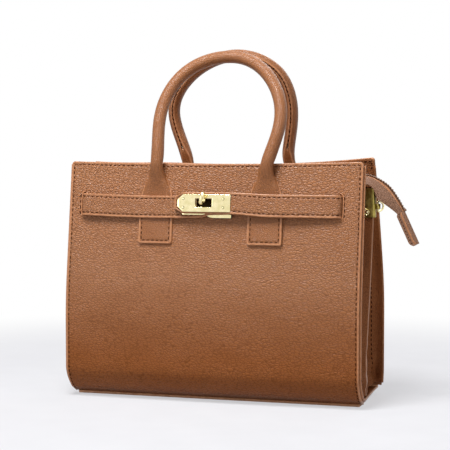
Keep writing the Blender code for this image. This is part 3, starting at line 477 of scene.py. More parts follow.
@dataclass(frozen=True)
class WaxedThread(Finish):
    """Twisted polyester sewing thread. The plies make dark slanted lines, and the wax gives a dull shine."""

    twist: float = 0.45 * MM

    def inputs(self, tree: Tree) -> dict:
        """Adds the twist across each stitch."""
        vector = mapped(tree, (1 / self.twist,) * 3, (0.4, 0.5, 0.6))
        ply = add_node(tree, "TexWave", {"Vector": vector, "Scale": 0.16, "Distortion": 0.6}).outputs["Fac"]
        return {
            "Base Color": self.colours(tree, ply, 0.1, 0.7),
            "Normal": add_node(tree, "Bump", {"Height": ply, "Strength": 0.5, "Distance": 0.1 * MM}),
            "Roughness": 0.75, "IOR": 1.3, "Specular IOR Level": 0.2,
        }


@dataclass(frozen=True)
class PlatedMetal(Finish):
    """Thin plating on polished metal: mirror-like, with a faint haze and a deeper tint where hands have rubbed it."""

    roughness: float = 0.13

    def inputs(self, tree: Tree) -> dict:
        """Adds patches of haze, about 5 mm across."""
        haze = add_node(tree, "TexNoise", {"Vector": mapped(tree, PER_MM), "Scale": 0.22, "Detail": 3.0})
        return {
            "Base Color": self.colours(tree, haze, 0.35, 0.65),
            "Roughness": remap(tree, haze, (0.3, 0.7), (self.roughness - 0.04, self.roughness + 0.07)),
            "Normal": add_node(tree, "Bump", {"Height": haze, "Strength": 0.12, "Distance": 0.15 * MM}),
            "Metallic": 1.0,
        }


@dataclass(frozen=True)
class WovenCloth(Finish):
    """Twill, tape, board or rope. Its threads cross at this pitch, drawn coarser than life so that they show."""

    pitch: float = 0.9 * MM
    roughness: float = 0.85

    def inputs(self, tree: Tree) -> dict:
        """Adds warp and weft with some fuzz over them. The accent colour lies between the threads."""
        vector = mapped(tree, (1 / self.pitch,) * 3)
        warp, weft = (
            add_node(tree, "TexWave", {"Vector": vector, "Scale": 0.32}, bands_direction=way).outputs["Fac"]
            for way in ("DIAGONAL", "Z")
        )
        cross = add_node(tree, "Math", {0: warp, 1: weft}, operation="MULTIPLY")
        fuzz = add_node(tree, "TexNoise", {"Vector": vector, "Scale": 1.4, "Detail": 3.0})
        total = add_node(tree, "Math", {0: fuzz, 1: 0.5, 2: cross}, operation="MULTIPLY_ADD")
        return {
            "Base Color": self.colours(tree, total, 0.2, 0.9),
            "Normal": add_node(tree, "Bump", {"Height": total, "Strength": 0.5, "Distance": 0.15 * MM}),
            "Roughness": self.roughness,
        }


@dataclass(frozen=True)
class MouldedNylon(Finish):
    """Moulded zip chain: a half-matt plastic skin with a faint mottle from the mould."""

    def inputs(self, tree: Tree) -> dict:
        """Adds the mottle, about 1 mm across."""
        mottle = add_node(tree, "TexNoise", {"Vector": mapped(tree, PER_MM), "Scale": 0.8, "Detail": 4.0})
        return {"Base Color": self.colours(tree, mottle, 0.35, 0.7), "Roughness": 0.42}


@dataclass(frozen=True)
class StudioPaper(Finish):
    """Seamless matt paper. The camera and gloss see it near white, with the bag's shadow; it bounces little light."""

    name: str = "white_seamless_paper"
    base: str = "#DCDCE0"
    accent: str = "#D6D6DA"
    bounce: str = "#B9B4AE"
    glow: str = "#F2F2F5"
    lift: float = 0.6
    near: float = 0.3
    far: float = 0.75

    def inputs(self, tree: Tree) -> dict:
        """Adds faint cloudy fibres, and a glow that grows with the distance from the bag."""
        vector = mapped(tree, PER_MM)
        fibre = add_node(tree, "TexNoise", {"Vector": vector, "Scale": 0.02, "Detail": 2.0})
        seen = any_ray(tree, "Is Camera Ray", "Is Glossy Ray")
        away = add_node(tree, "VectorMath", {0: vector}, operation="LENGTH").outputs["Value"]
        fade = remap(tree, away, (self.near / MM, self.far / MM), (0.0, 1.0), interpolation_type="SMOOTHSTEP")
        tone = add_node(tree, "MixRGB", {"Fac": fade, "Color1": linear(self.glow), "Color2": WHITE})
        lift = remap(tree, fade, (0.0, 1.0), (self.lift, 1.0))
        share = add_node(tree, "Math", {0: seen, 1: lift}, operation="MULTIPLY")
        glow = add_node(tree, "Emission", {"Color": tone, "Strength": 1.0})
        mixed = add_node(tree, "MixShader", {0: share, 1: tree.nodes["Principled BSDF"], 2: glow})
        feed(tree, tree.nodes["Material Output"], {"Surface": mixed})
        paper = {"Fac": seen, "Color1": linear(self.bounce), "Color2": self.colours(tree, fibre, 0.3, 0.7)}
        return {"Base Color": add_node(tree, "MixRGB", paper), "Roughness": 0.8, "Specular IOR Level": 0.0}


class Finishes:
    """All materials of the bag, made once. Each is the list of a piece's materials: a leather and its edge paint."""

    def __init__(self) -> None:
        """Builds every material."""
        edge = EdgePaint("painted_leather_edge", "#B57C53", "#A06741").build()
        # In the pebbled leathers the second colour is the painted shade in the creases
        self.leather, self.belt, self.handle, self.gusset, self.suede = ([finish.build(), edge] for finish in (
            # The panels' deeper tone toward the foot is painted shade
            PebbledLeather(
                "pebbled_caramel_calf", "#986138", "#6C3F20", "#A16940", foot_tone="#EDDCC8", foot_coat=0.12,
            ),
            PebbledLeather("pebbled_belt_calf", "#986139", "#6C3F21", "#9F683F", pebble=1.9 * MM, stretch=1.5),
            PebbledLeather(
                "rolled_handle_calf", "#915A31", "#6A3D1D", "#986035", pebble=1.7 * MM, stretch=1.2, strength=0.6,
                roughness=0.38, lean=math.radians(60), ior=1.44,
            ),
            PebbledLeather(
                "soft_gusset_calf", "#91562D", "#62381B", "#9B5E33", pebble=1.6 * MM, stretch=1.2, roughness=0.55,
                ior=1.3,
            ),
            PebbledLeather(
                "soft_zip_leaf_calf", "#835D46", "#65442F", "#8C654D", pebble=1.2 * MM, stretch=1.3, strength=0.7,
                roughness=0.6,
            ),
        ))
        self.edge = [edge]
        # The piping's paint is lighter than the other edges': painted highlight
        self.piping = [EdgePaint("painted_base_piping", "#E3AA80", "#CF946B").build()]
        self.thread = [WaxedThread("waxed_brown_thread", "#4C240D", "#2A1206").build()]
        self.gold = [PlatedMetal("pale_gold_plating", "#F6E9BB", "#EBDEA8").build()]
        self.brass = [PlatedMetal("darkened_brass", "#C0AE62", "#8F7E3E", roughness=0.3).build()]
        # Dark metal as painted shade, in the rivets' grooves and behind the lock's slot
        self.shade = [PlatedMetal("blackened_brass", "#2A2012", "#1B140B", roughness=0.5).build()]
        self.cloth = [WovenCloth("brown_twill_lining", "#5B3A25", "#3A2416").build()]
        self.tape = [WovenCloth("zip_tape", "#8F6144", "#6E472E", pitch=0.7 * MM).build()]
        self.nylon = [MouldedNylon("moulded_zip_chain", "#785236", "#634128").build()]
        self.board = [WovenCloth("grey_pulp_board", "#8A847C", "#6F6A64", pitch=2.0 * MM).build()]
        self.rope = [WovenCloth("cotton_rope_core", "#D8CDB8", "#B7AA92", pitch=1.5 * MM).build()]


# Meshes and pieces

def at(lines: Sequence[float], place: float) -> float:
    """Reads a row of grid lines at a place that may lie between two of them."""
    index = min(max(int(place + 1e-6), 0), len(lines) - 2)
    return mix(lines[index], lines[index + 1], place - index)


def even(first: float, last: float, count: int) -> list[float]:
    """Evenly spaced grid lines from first to last."""
    return [mix(first, last, index / count) for index in range(count + 1)]


def grid_place(vector: Vector, columns: Sequence[float], rows: Sequence[float]) -> tuple[float, float]:
    """Turns a place on the unit grid into its values across and up."""
    return at(columns, (vector.x + 0.5) * (len(columns) - 1)), at(rows, (vector.y + 0.5) * (len(rows) - 1))


def unit_grid(columns: Sequence[float], rows: Sequence[float]) -> BMesh:
    """Makes a flat grid one unit wide with as many lines as these."""
    bm = bmesh.new()
    bmesh.ops.create_grid(bm, x_segments=len(columns) - 1, y_segments=len(rows) - 1, size=0.5)
    return bm


def sheet(columns: Sequence[float], rows: Sequence[float], place: Place) -> BMesh:
    """Makes a sheet of quads.

    Args:
        columns: Values of the lines across.
        rows: Values of the lines up.
        place: Gives the point for a value across and a value up.

    Returns:
        The sheet, one face thick.
    """
    bm = unit_grid(columns, rows)
    for vert in bm.verts:
        vert.co = place(*grid_place(vert.co, columns, rows))
    return bm


def slab(
    columns: Sequence[float], rows: Sequence[float], front: Place, back: Place, paint: Test | None = None,
    hole: Test | None = None, radius: float = 0.0,
) -> BMesh:
    """Makes a wall between two surfaces that share one grid. The rim's faces get material 1.

    Args:
        columns: Values of the lines across.
        rows: Values of the lines up.
        front: Points of the outer surface.
        back: Points of the inner surface.
        paint: Says where the surfaces get material 1 too.
        hole: Says where the wall is open.
        radius: Rounding of the rim's long edges.

    Returns:
        The closed wall.
    """
    bm = unit_grid(columns, rows)
    if hole:
        doomed = [face for face in bm.faces if hole(*grid_place(face.calc_center_median(), columns, rows))]
        bmesh.ops.delete(bm, geom=doomed, context="FACES")
    if paint:
        for face in bm.faces:
            face.material_index = int(paint(*grid_place(face.calc_center_median(), columns, rows)))
    first = set(bm.faces)
    made = bmesh.ops.extrude_face_region(bm, geom=bm.faces[:], use_keep_orig=True)["geom"]
    copies = {item for item in made if isinstance(item, bmesh.types.BMVert)}
    second = {item for item in made if isinstance(item, bmesh.types.BMFace)}
    rim = [face for face in bm.faces if face not in first and face not in second]
    for face in rim:
        face.material_index = 1
    for vert in bm.verts:
        vert.co = (back if vert in copies else front)(*grid_place(vert.co, columns, rows))
    bmesh.ops.recalc_face_normals(bm, faces=bm.faces)
    if radius:
        chosen = set(rim)
        round_edges(bm, list({
            edge for face in rim for edge in face.edges if sum(other in chosen for other in edge.link_faces) == 1
        }), radius, 2)
    return bm


def plate(
    columns: Sequence[float], rows: Sequence[float], spot: Callable[[float, float, float], Vector], high: float,
    low: float, **options,
) -> BMesh:
    """Makes a wall between two levels of a surface.

    Args:
        columns: Values of the lines across.
        rows: Values of the lines up.
        spot: Gives the point for a value across, a value up and a level.
        high: Level of the outer surface.
        low: Level of the inner surface.
        options: What else a slab takes.

    Returns:
        The closed wall.
    """
    return slab(columns, rows, lambda u, v: spot(u, v, high), lambda u, v: spot(u, v, low), **options)


def round_edges(bm: BMesh, edges: Sequence[bmesh.types.BMEdge], radius: float, steps: int) -> None:
    """Rounds edges of a mesh with this many faces each."""
    bmesh.ops.bevel(
        bm, geom=edges, offset=radius, offset_type="OFFSET", segments=steps, profile=0.5, affect="EDGES",
        material=-1, clamp_overlap=True,
    )


def slope_out(
    spot: Place, u: float, v: float, steps: tuple[float, float], low: Sequence[float] = ENDLESS[0],
    high: Sequence[float] = ENDLESS[1],
) -> Vector:
    """Direction out of a surface, square to both of its slopes.

    Args:
        spot: The surface.
        u: Where to look across.
        v: Where to look up.
        steps: How far to look to each side, across and up.
        low: Lowest values across and up that the surface has.
        high: Highest values.

    Returns:
        The direction, on the side where the two slopes turn against the clock.
    """
    across = spot(min(u + steps[0], high[0]), v) - spot(max(u - steps[0], low[0]), v)
    up = spot(u, min(v + steps[1], high[1])) - spot(u, max(v - steps[1], low[1]))
    return across.cross(up).normalized()


def path_frames(path: Sequence[Vector], closed: bool = False) -> list[tuple[Vector, Vector, Vector]]:
    """Tangent and two cross directions at each point of a path, carried along it without twist."""
    count = len(path)
    tangents = []
    for index in range(count):
        before = path[index - 1] if index or closed else path[0]
        after = path[(index + 1) % count] if index + 1 < count or closed else path[-1]
        tangents.append((after - before).normalized())
    side = tangents[0].orthogonal().normalized()
    frames = []
    for tangent in tangents:
        side = (side - tangent * side.dot(tangent)).normalized()
        frames.append((tangent, side, tangent.cross(side)))
    return frames


def tube(path: Sequence[Vector], radii: Sequence[float], sides: int = 12, closed: bool = False) -> BMesh:
    """Makes a round tube along a path.

    Args:
        path: Points along the tube's middle.
        radii: Its radius at each point.
        sides: Sides of its section.
        closed: Whether the last point joins the first. Otherwise the ends are closed with a low dome.

    Returns:
        The tube.
    """
    count = len(path)
    frames = path_frames(path, closed)

    def place(turn: float, row: float) -> Vector:
        index = round(row) % count
        _, side, up = frames[index]
        return path[index] + (side * math.cos(turn) + up * math.sin(turn)) * radii[index]

    bm = sheet(even(0, 2 * math.pi, sides), range(count + closed), place)
    bmesh.ops.remove_doubles(bm, verts=bm.verts, dist=WELD / 2)
    if not closed:
        ends = bmesh.ops.holes_fill(bm, edges=[edge for edge in bm.edges if edge.is_boundary], sides=0)["faces"]
        bmesh.ops.recalc_face_normals(bm, faces=bm.faces)
        radius = min(radii[0], radii[-1])
        for end in ends:
            bmesh.ops.inset_region(bm, faces=[end], thickness=radius * DOME_INSET, depth=radius * DOME_RISE)
    bmesh.ops.recalc_face_normals(bm, faces=bm.faces)
    return bm


def lathe(profile: Sequence[tuple[float, float]], frame: Matrix, steps: int) -> BMesh:
    """Turns a profile round a frame's Z axis.

    Args:
        profile: Pairs of radius and height in mm. Ends at radius 0 close the shape.
        frame: Where the turned shape stands.
        steps: Sides of the shape.

    Returns:
        The turned shape.
    """
    bm = bmesh.new()
    verts = [bm.verts.new((radius * MM, 0, height * MM)) for radius, height in profile]
    edges = [bm.edges.new(pair) for pair in zip(verts, verts[1:])]
    bmesh.ops.spin(
        bm, geom=verts + edges, cent=(0, 0, 0), axis=(0, 0, 1), angle=2 * math.pi, steps=steps, use_merge=True,
    )
    bmesh.ops.remove_doubles(bm, verts=bm.verts, dist=WELD / 5)
    bmesh.ops.recalc_face_normals(bm, faces=bm.faces)
    bmesh.ops.transform(bm, matrix=frame, verts=bm.verts)
    return bm


def block(low: Sequence[float], high: Sequence[float], frame: Matrix, radius: float, steps: int) -> BMesh:
    """Makes a box with rounded edges between two corners of a frame."""
    bm = bmesh.new()
    low, high = Vector(low), Vector(high)
    place = frame @ Matrix.Translation((low + high) / 2) @ Matrix.Diagonal((*(high - low), 1))
    bmesh.ops.create_cube(bm, size=1, matrix=place)
    round_edges(bm, bm.edges[:], radius, steps)
    return bm


def stored(bm: BMesh, name: str) -> bpy.types.Mesh:
    """Moves a mesh that is being edited into the file's data."""
    mesh = bpy.data.meshes.new(name)
    bm.to_mesh(mesh)
    bm.free()
    return mesh


def stamp(whole: BMesh, pattern: bpy.types.Mesh, place: Matrix) -> None:
    """Adds a copy of a small mesh to a larger one."""
    copy = pattern.copy()
    copy.transform(place)
    whole.from_mesh(copy)
    bpy.data.meshes.remove(copy)


def copies(bm: BMesh, places: Sequence[Matrix]) -> BMesh:
    """Copies a small mesh to many places, as one mesh, and frees it."""
    pattern = stored(bm, "pattern")
    whole = bmesh.new()
    for place in places:
        stamp(whole, pattern, place)
    bpy.data.meshes.remove(pattern)
    return whole


def merge(parts: Sequence[BMesh]) -> BMesh:
    """Joins several meshes into one and frees them."""
    whole = bmesh.new()
    for part in parts:
        mesh = stored(part, "part")
        whole.from_mesh(mesh)
        bpy.data.meshes.remove(mesh)
    return whole


def placed(name: str, data: bpy.types.ID) -> bpy.types.Object:
    """Puts an object with this data into the scene."""
    item = bpy.data.objects.new(name, data)
    bpy.context.scene.collection.objects.link(item)
    return item


def piece(
    name: str, bm: BMesh, body: str | None, materials: Sequence[bpy.types.Material],
    replaces: Sequence[str] = (), crisp: float | None = None,
) -> bpy.types.Object:
    """Turns a mesh into a piece that rides on a body.

    Args:
        name: The piece's name.
        bm: The mesh, which is freed.
        body: The body that it rides on, or None for a piece that rides on no body, such as one that spans a joint.
        materials: Its materials, in the order of the faces' material numbers.
        replaces: Nodes that it stands for.
        crisp: Edges that turn by more than this many degrees stay sharp in the shading.

    Returns:
        The new object.
    """
    for face in bm.faces:
        face.smooth = True
    if crisp is not None:
        limit = math.radians(crisp)
        for edge in bm.edges:
            edge.smooth = len(edge.link_faces) != 2 or edge.calc_face_angle() < limit
    item = placed(name, stored(bm, name))
    for material in materials:
        item.data.materials.append(material)
    if body:
        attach(item, body)
    if replaces:
        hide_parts(*replaces)
    LOG.info("%s: %d faces", name, len(item.data.polygons))
    return item


# Sewn leather

class Edge(Enum):
    """Edges of a patch, in the order in which a row of stitches runs round it."""

    LEFT = 0
    TOP = 1
    RIGHT = 2
    BOTTOM = 3


ALL_EDGES = frozenset(Edge)
PAINTED_BAND = 1.55 * MM
STITCH_INSET = 2.9 * MM
STITCH_LINE_STEP = 1.5 * MM
LINE_CLEARANCE = 0.4 * MM
RIM_ROUNDING = 0.45 * MM

# Distance in from a sewn edge to height over the leather: painted bead, crease, and the line that the thread sinks
BORDER_RELIEF = in_mm((
    (0.0, -0.1), (0.8, 0.16), (1.3, 0.1), (1.7, -0.12), (2.3, 0.02), (2.9, -0.36), (3.5, 0.02), (5.0, 0.14), (9.0, 0.0),
))
BORDER_LINES = tuple(value * MM for value in (0.0, 0.8, 1.25, 1.7, 2.3, 2.9, 3.5, 4.3, 5.4, 7.0, 9.0))


def spread(length: float, pitch: float, low: bool = True, high: bool = True) -> list[float]:
    """Grid lines across a length, close together by the ends that are sewn.

    Args:
        length: The whole length.
        pitch: Rough spacing away from the ends.
        low: Whether the start is sewn.
        high: Whether the end is sewn.

    Returns:
        The lines' places from 0 to the length.
    """
    start = list(BORDER_LINES) if low else [0.0]
    end = [length - place for place in reversed(BORDER_LINES)] if high else [length]
    free = end[0] - start[-1]
    count = max(round(free / pitch), 1)
    return start + [start[-1] + free * index / count for index in range(1, count)] + end


@dataclass(frozen=True)
class Patch:
    """A cut piece of leather with painted edges, laid on a surface.

    A place on it is a pair of distances, across from its left edge and up from its bottom edge.
    """

    width: float
    height: float
    face: Place
    out: Place
    wall: float
    sewn: frozenset[Edge] = ALL_EDGES
    painted: frozenset[Edge] = ALL_EDGES
    corner: float = 2.5 * MM
    pitch: float = 6 * MM
    hole: Test | None = None
    extra_columns: tuple[float, ...] = ()
    extra_rows: tuple[float, ...] = ()
    filler: Callable[[float, float], Vector | None] | None = None

    def rounded(self, a: float, b: float) -> tuple[float, float, float]:
        """Moves a place into the outline with its rounded corners.

        Args:
            a: Distance across.
            b: Distance up.

        Returns:
            The moved place, and its distance from the nearest sewn edge.
        """
        left, low = a < self.width / 2, b < self.height / 2
        near_x, edge_x = (a, Edge.LEFT) if left else (self.width - a, Edge.RIGHT)
        near_y, edge_y = (b, Edge.BOTTOM) if low else (self.height - b, Edge.TOP)
        both = edge_x in self.sewn and edge_y in self.sewn
        if both and near_x < self.corner and near_y < self.corner:
            p, q = self.corner - near_x, self.corner - near_y
            scale = max(p, q) / math.hypot(p, q)
            near_x, near_y = self.corner - p * scale, self.corner - q * scale
            inset = self.corner - max(p, q)
        else:
            far = self.width + self.height
            inset = min(near_x if edge_x in self.sewn else far, near_y if edge_y in self.sewn else far)
        return (near_x if left else self.width - near_x), (near_y if low else self.height - near_y), inset

    def place(self, a: float, b: float) -> Vector:
        """Point of the outer surface, border relief included."""
        a, b, inset = self.rounded(a, b)
        return self.face(a, b) + self.out(a, b) * lookup(BORDER_RELIEF, inset)

    def behind(self, a: float, b: float) -> Vector:
        """Point of the inner surface."""
        a, b, _ = self.rounded(a, b)
        filled = self.filler(a, b) if self.filler else None
        return filled or self.face(a, b) - self.out(a, b) * self.wall

    def is_paint(self, a: float, b: float) -> bool:
        """Whether the edge paint laps over the surface here."""
        nears = {Edge.LEFT: a, Edge.RIGHT: self.width - a, Edge.BOTTOM: b, Edge.TOP: self.height - b}
        return min((nears[edge] for edge in self.painted & self.sewn), default=1.0) < PAINTED_BAND

    def build(self) -> BMesh:
        """Makes the patch's mesh: leather as material 0 and edge paint as material 1."""
        columns = spread(self.width, self.pitch, Edge.LEFT in self.sewn, Edge.RIGHT in self.sewn)
        rows = spread(self.height, self.pitch, Edge.BOTTOM in self.sewn, Edge.TOP in self.sewn)
        return slab(
            with_lines(columns, self.extra_columns), with_lines(rows, self.extra_rows), self.place, self.behind,
            self.is_paint, self.hole, min(RIM_ROUNDING, self.wall / 4),
        )

    def run(self, edges: Sequence[Edge], start: float = 0.0, end: float = 0.0, inside: bool = False) -> Line:
        """Line for stitches along some edges.

        Args:
            edges: Neighbouring edges in order.
            start: Extra distance that the line stays away from its first corner.
            end: Extra distance that it stays away from its last corner.
            inside: Whether the line lies on the inner surface.

        Returns:
            The points, and the direction out of the surface at each.
        """
        left = low = STITCH_INSET
        right, high = self.width - STITCH_INSET, self.height - STITCH_INSET
        corners = {
            Edge.LEFT: ((left, low), (left, high)), Edge.TOP: ((left, high), (right, high)),
            Edge.RIGHT: ((right, high), (right, low)), Edge.BOTTOM: ((right, low), (left, low)),
        }
        points, outs = [], []
        for number, edge in enumerate(edges):
            (ax, ay), (bx, by) = corners[edge]
            length = math.hypot(bx - ax, by - ay)
            first = start if number == 0 else 0.0
            last = length - (end if number == len(edges) - 1 else 0.0)
            steps = max(round((last - first) / STITCH_LINE_STEP), 2)
            for step in range(0 if number == 0 else 1, steps + 1):
                share = mix(first, last, step / steps) / length
                a, b = mix(ax, bx, share), mix(ay, by, share)
                points.append(self.behind(a, b) if inside else self.place(a, b))
                outs.append(-self.out(a, b) if inside else self.out(a, b))
        return points, outs


def with_lines(lines: list[float], extra: Sequence[float]) -> list[float]:
    """Adds grid lines and drops old inner ones that would lie too close to them."""
    kept = [line for line in lines[1:-1] if all(abs(line - new) > LINE_CLEARANCE for new in extra)]
    return sorted([lines[0], *kept, *extra, lines[-1]])


def round_bead() -> bpy.types.Mesh:
    """Makes the small ball that every stitch is a stretched copy of."""
    bm = bmesh.new()
    bmesh.ops.create_uvsphere(bm, u_segments=6, v_segments=5, radius=1)
    return stored(bm, "stitch_bead")


@dataclass
class Seam:
    """Rows of sewn stitches, gathered into one mesh of small beads."""

    pitch: float = 4.6 * MM
    length: float = 3.3 * MM
    width: float = 1.4 * MM
    height: float = 0.75 * MM
    slant: float = math.radians(6)
    lift: float = 0.08 * MM
    mesh: BMesh = field(default_factory=bmesh.new)
    bead: bpy.types.Mesh = field(default_factory=round_bead)

    def row(self, line: Line) -> None:
        """Sews a row along a line.

        Args:
            line: Points on the surface, close enough to follow its bends, and its outward direction at each.
        """
        points, outs = line
        gone = [0.0]
        for before, after in zip(points, points[1:]):
            gone.append(gone[-1] + (after - before).length)
        count = max(int(gone[-1] / self.pitch), 1)
        pitch = gone[-1] / count
        index = 0
        for number in range(count):
            where = (number + 0.5) * pitch
            while gone[index + 1] < where:
                index += 1
            share = (where - gone[index]) / (gone[index + 1] - gone[index])
            middle = points[index].lerp(points[index + 1], share)
            out = outs[index].lerp(outs[index + 1], share).normalized()
            along = points[index + 1] - points[index]
            along = (along - out * along.dot(out)).normalized()
            along = along * math.cos(self.slant) + out.cross(along) * math.sin(self.slant)
            self.stitch(middle + out * self.lift, along, out)

    def stitch(self, middle: Vector, along: Vector, out: Vector) -> None:
        """Adds one stitch: a bead stretched along the thread."""
        axes = out.cross(along) * self.width / 2, out * self.height / 2, along * (self.length / 2)
        basis = Matrix(axes).transposed().to_4x4()
        basis.translation = middle
        stamp(self.mesh, self.bead, basis)

    def piece(self, name: str, body: str | None, thread: Sequence[bpy.types.Material]) -> bpy.types.Object:
        """Makes the thread's piece."""
        return piece(name, self.mesh, body, thread)


# Shell of the bag

@dataclass(frozen=True)
class Slits:
    """The two slits in the front panel that the straps come out of."""

    middle: float = 187.3 * MM
    half: float = 10.8 * MM
    width: float = 1.6 * MM
    left: float = -130.3 * MM
    right: float = 125.4 * MM

    def at(self, side: Side) -> float:
        """Place of a slit along the panel."""
        return self.left if side is Side.LEFT else self.right


SLITS = Slits()


@dataclass
class Gusset:
    """A soft side of the bag: a sheet with two valleys and an upright crest between them, sewn to both panels."""

    side: Side
    finishes: Finishes
    seam: Seam
    wall: float = 1.3 * MM
    gap: float = 0.5 * MM
    foot: float = 2.9 * MM
    # How far its flange's three lines stand out past the bag's side edge
    reaches: tuple[float, float, float] = (1.9 * MM, -3 * MM, -8 * MM)
    # Heights of its top edge in mm, from its seam to its crest
    tops: tuple[float, ...] = (226.6, 222.0, 213.0, 206.0, 205.0, 205.0)
    columns: tuple[int, ...] = (3, 3, 8, 7, 6, 2, 6, 7, 8, 3, 3)
    rows: int = 60
    crest_foot_x: float = 138 * MM
    crest_x: float = 148.3 * MM
    crest_y: float = -10 * MM
    crest_half: float = 1 * MM
    crest_full: float = 170 * MM
    valley_inset: float = 1.2 * MM
    valley_depth: float = 21 * MM
    valley_full: float = 45 * MM
    pinch_from: float = 110 * MM
    pinch_run: float = 60 * MM
    pinch_depth: float = 15 * MM
    ridge: float = 0.35 * MM
    crumpled: float = 80 * MM
    crease: float = 9.0

    def fold(self, share: float) -> list[Vector]:
        """Points along the fold at a share of the gusset's height, which differs along the fold.

        Args:
            share: The share, from 0 at the foot to 1 at the top.

        Returns:
            The points of the middle surface from the front seam to the rear one.
        """
        sign = self.side.value
        inside = PANEL_WALL + self.gap + self.wall / 2
        last = 2 * len(self.tops) - 1
        corners = []
        for station in range(last + 1):
            from_seam = min(station, last - station)
            wall = Wall.FRONT if station == from_seam else Wall.REAR
            foot = self.foot + FORM.corner_lift * smooth(station / last)
            z = mix(foot, self.tops[from_seam] * MM, share)
            flange = FORM.off(wall, sign * (FORM.half + self.reaches[min(from_seam, 2)]), z, -inside)
            rise = clamp(z / self.crest_full)
            crest_x = sign * mix(self.crest_foot_x, self.crest_x, rise)
            crest = Vector((crest_x, self.crest_y * rise + wall.value * self.crest_half, z))
            valley = flange.lerp(crest, 0.5)
            depth = self.valley_inset + self.valley_depth * smooth(z / self.valley_full)
            valley.x = sign * (FORM.half + self.reaches[2] - depth)
            valley.z = z
            # The crest's two cheeks lie together from mid-height up
            pinch = smooth((z - self.pinch_from) / self.pinch_run)
            pinched = crest - Vector((sign * self.pinch_depth, 0, 0))
            cheek = valley.lerp(crest, 0.6).lerp(pinched, pinch)
            corners.append((flange, flange, flange, valley, cheek, crest)[from_seam])
        points = [corners[0]]
        for before, after, count in zip(corners, corners[1:], self.columns):
            points += [before.lerp(after, step / count) for step in range(1, count + 1)]
        return relaxed(points, 3)

    def build(self) -> None:
        """Builds the gusset with its painted crest and its rows of stitches."""
        folds = [self.fold(share) for share in even(0, 1, self.rows)]
        count = len(folds[0])
        crest = count // 2

        def normal(column: int, row: int) -> Vector:
            last = (count - 1, self.rows)
            return slope_out(lambda u, v: folds[v][u], column, row, (1, 1), (0, 0), last) * self.side.value

        def surface(column: float, row: float, out: float) -> Vector:
            column, row = round(column), round(row)
            point = folds[row][column]
            free = smooth(min(column, count - 1 - column) / 9)
            low = 1 - smooth(point.z / self.crumpled)
            # Soft dents all over, and toward the foot sharp creases where the leather is folded under
            crumple = noise.noise(point / (9 * MM)) * mix(0.3, 1.3, low) + noise.noise(point / (4 * MM)) * 0.4 * low
            crumple += (0.22 - abs(noise.noise(point / (13 * MM)))) * self.crease * low * low
            ridge = self.ridge if abs(column - crest) <= 1 and out > 0 else 0.0
            return point + normal(column, row) * (out + crumple * MM * free + ridge)

        half, word = self.wall / 2, self.side.word
        bm = plate(
            range(count), range(self.rows + 1), surface, half, -half, radius=0.3 * MM,
            paint=lambda column, row: abs(column - crest) < 1.1 or min(column, count - 1 - column) < 0.9,
        )
        piece(f"gusset_fold_{word}", bm, "bag_body", self.finishes.gusset, [f"gusset_{word}"])
        rows = range(3, self.rows - 1)
        for column in (7, crest - 5, crest + 5, count - 8):
            self.seam.row(([surface(column, row, half) for row in rows], [normal(column, row) for row in rows]))


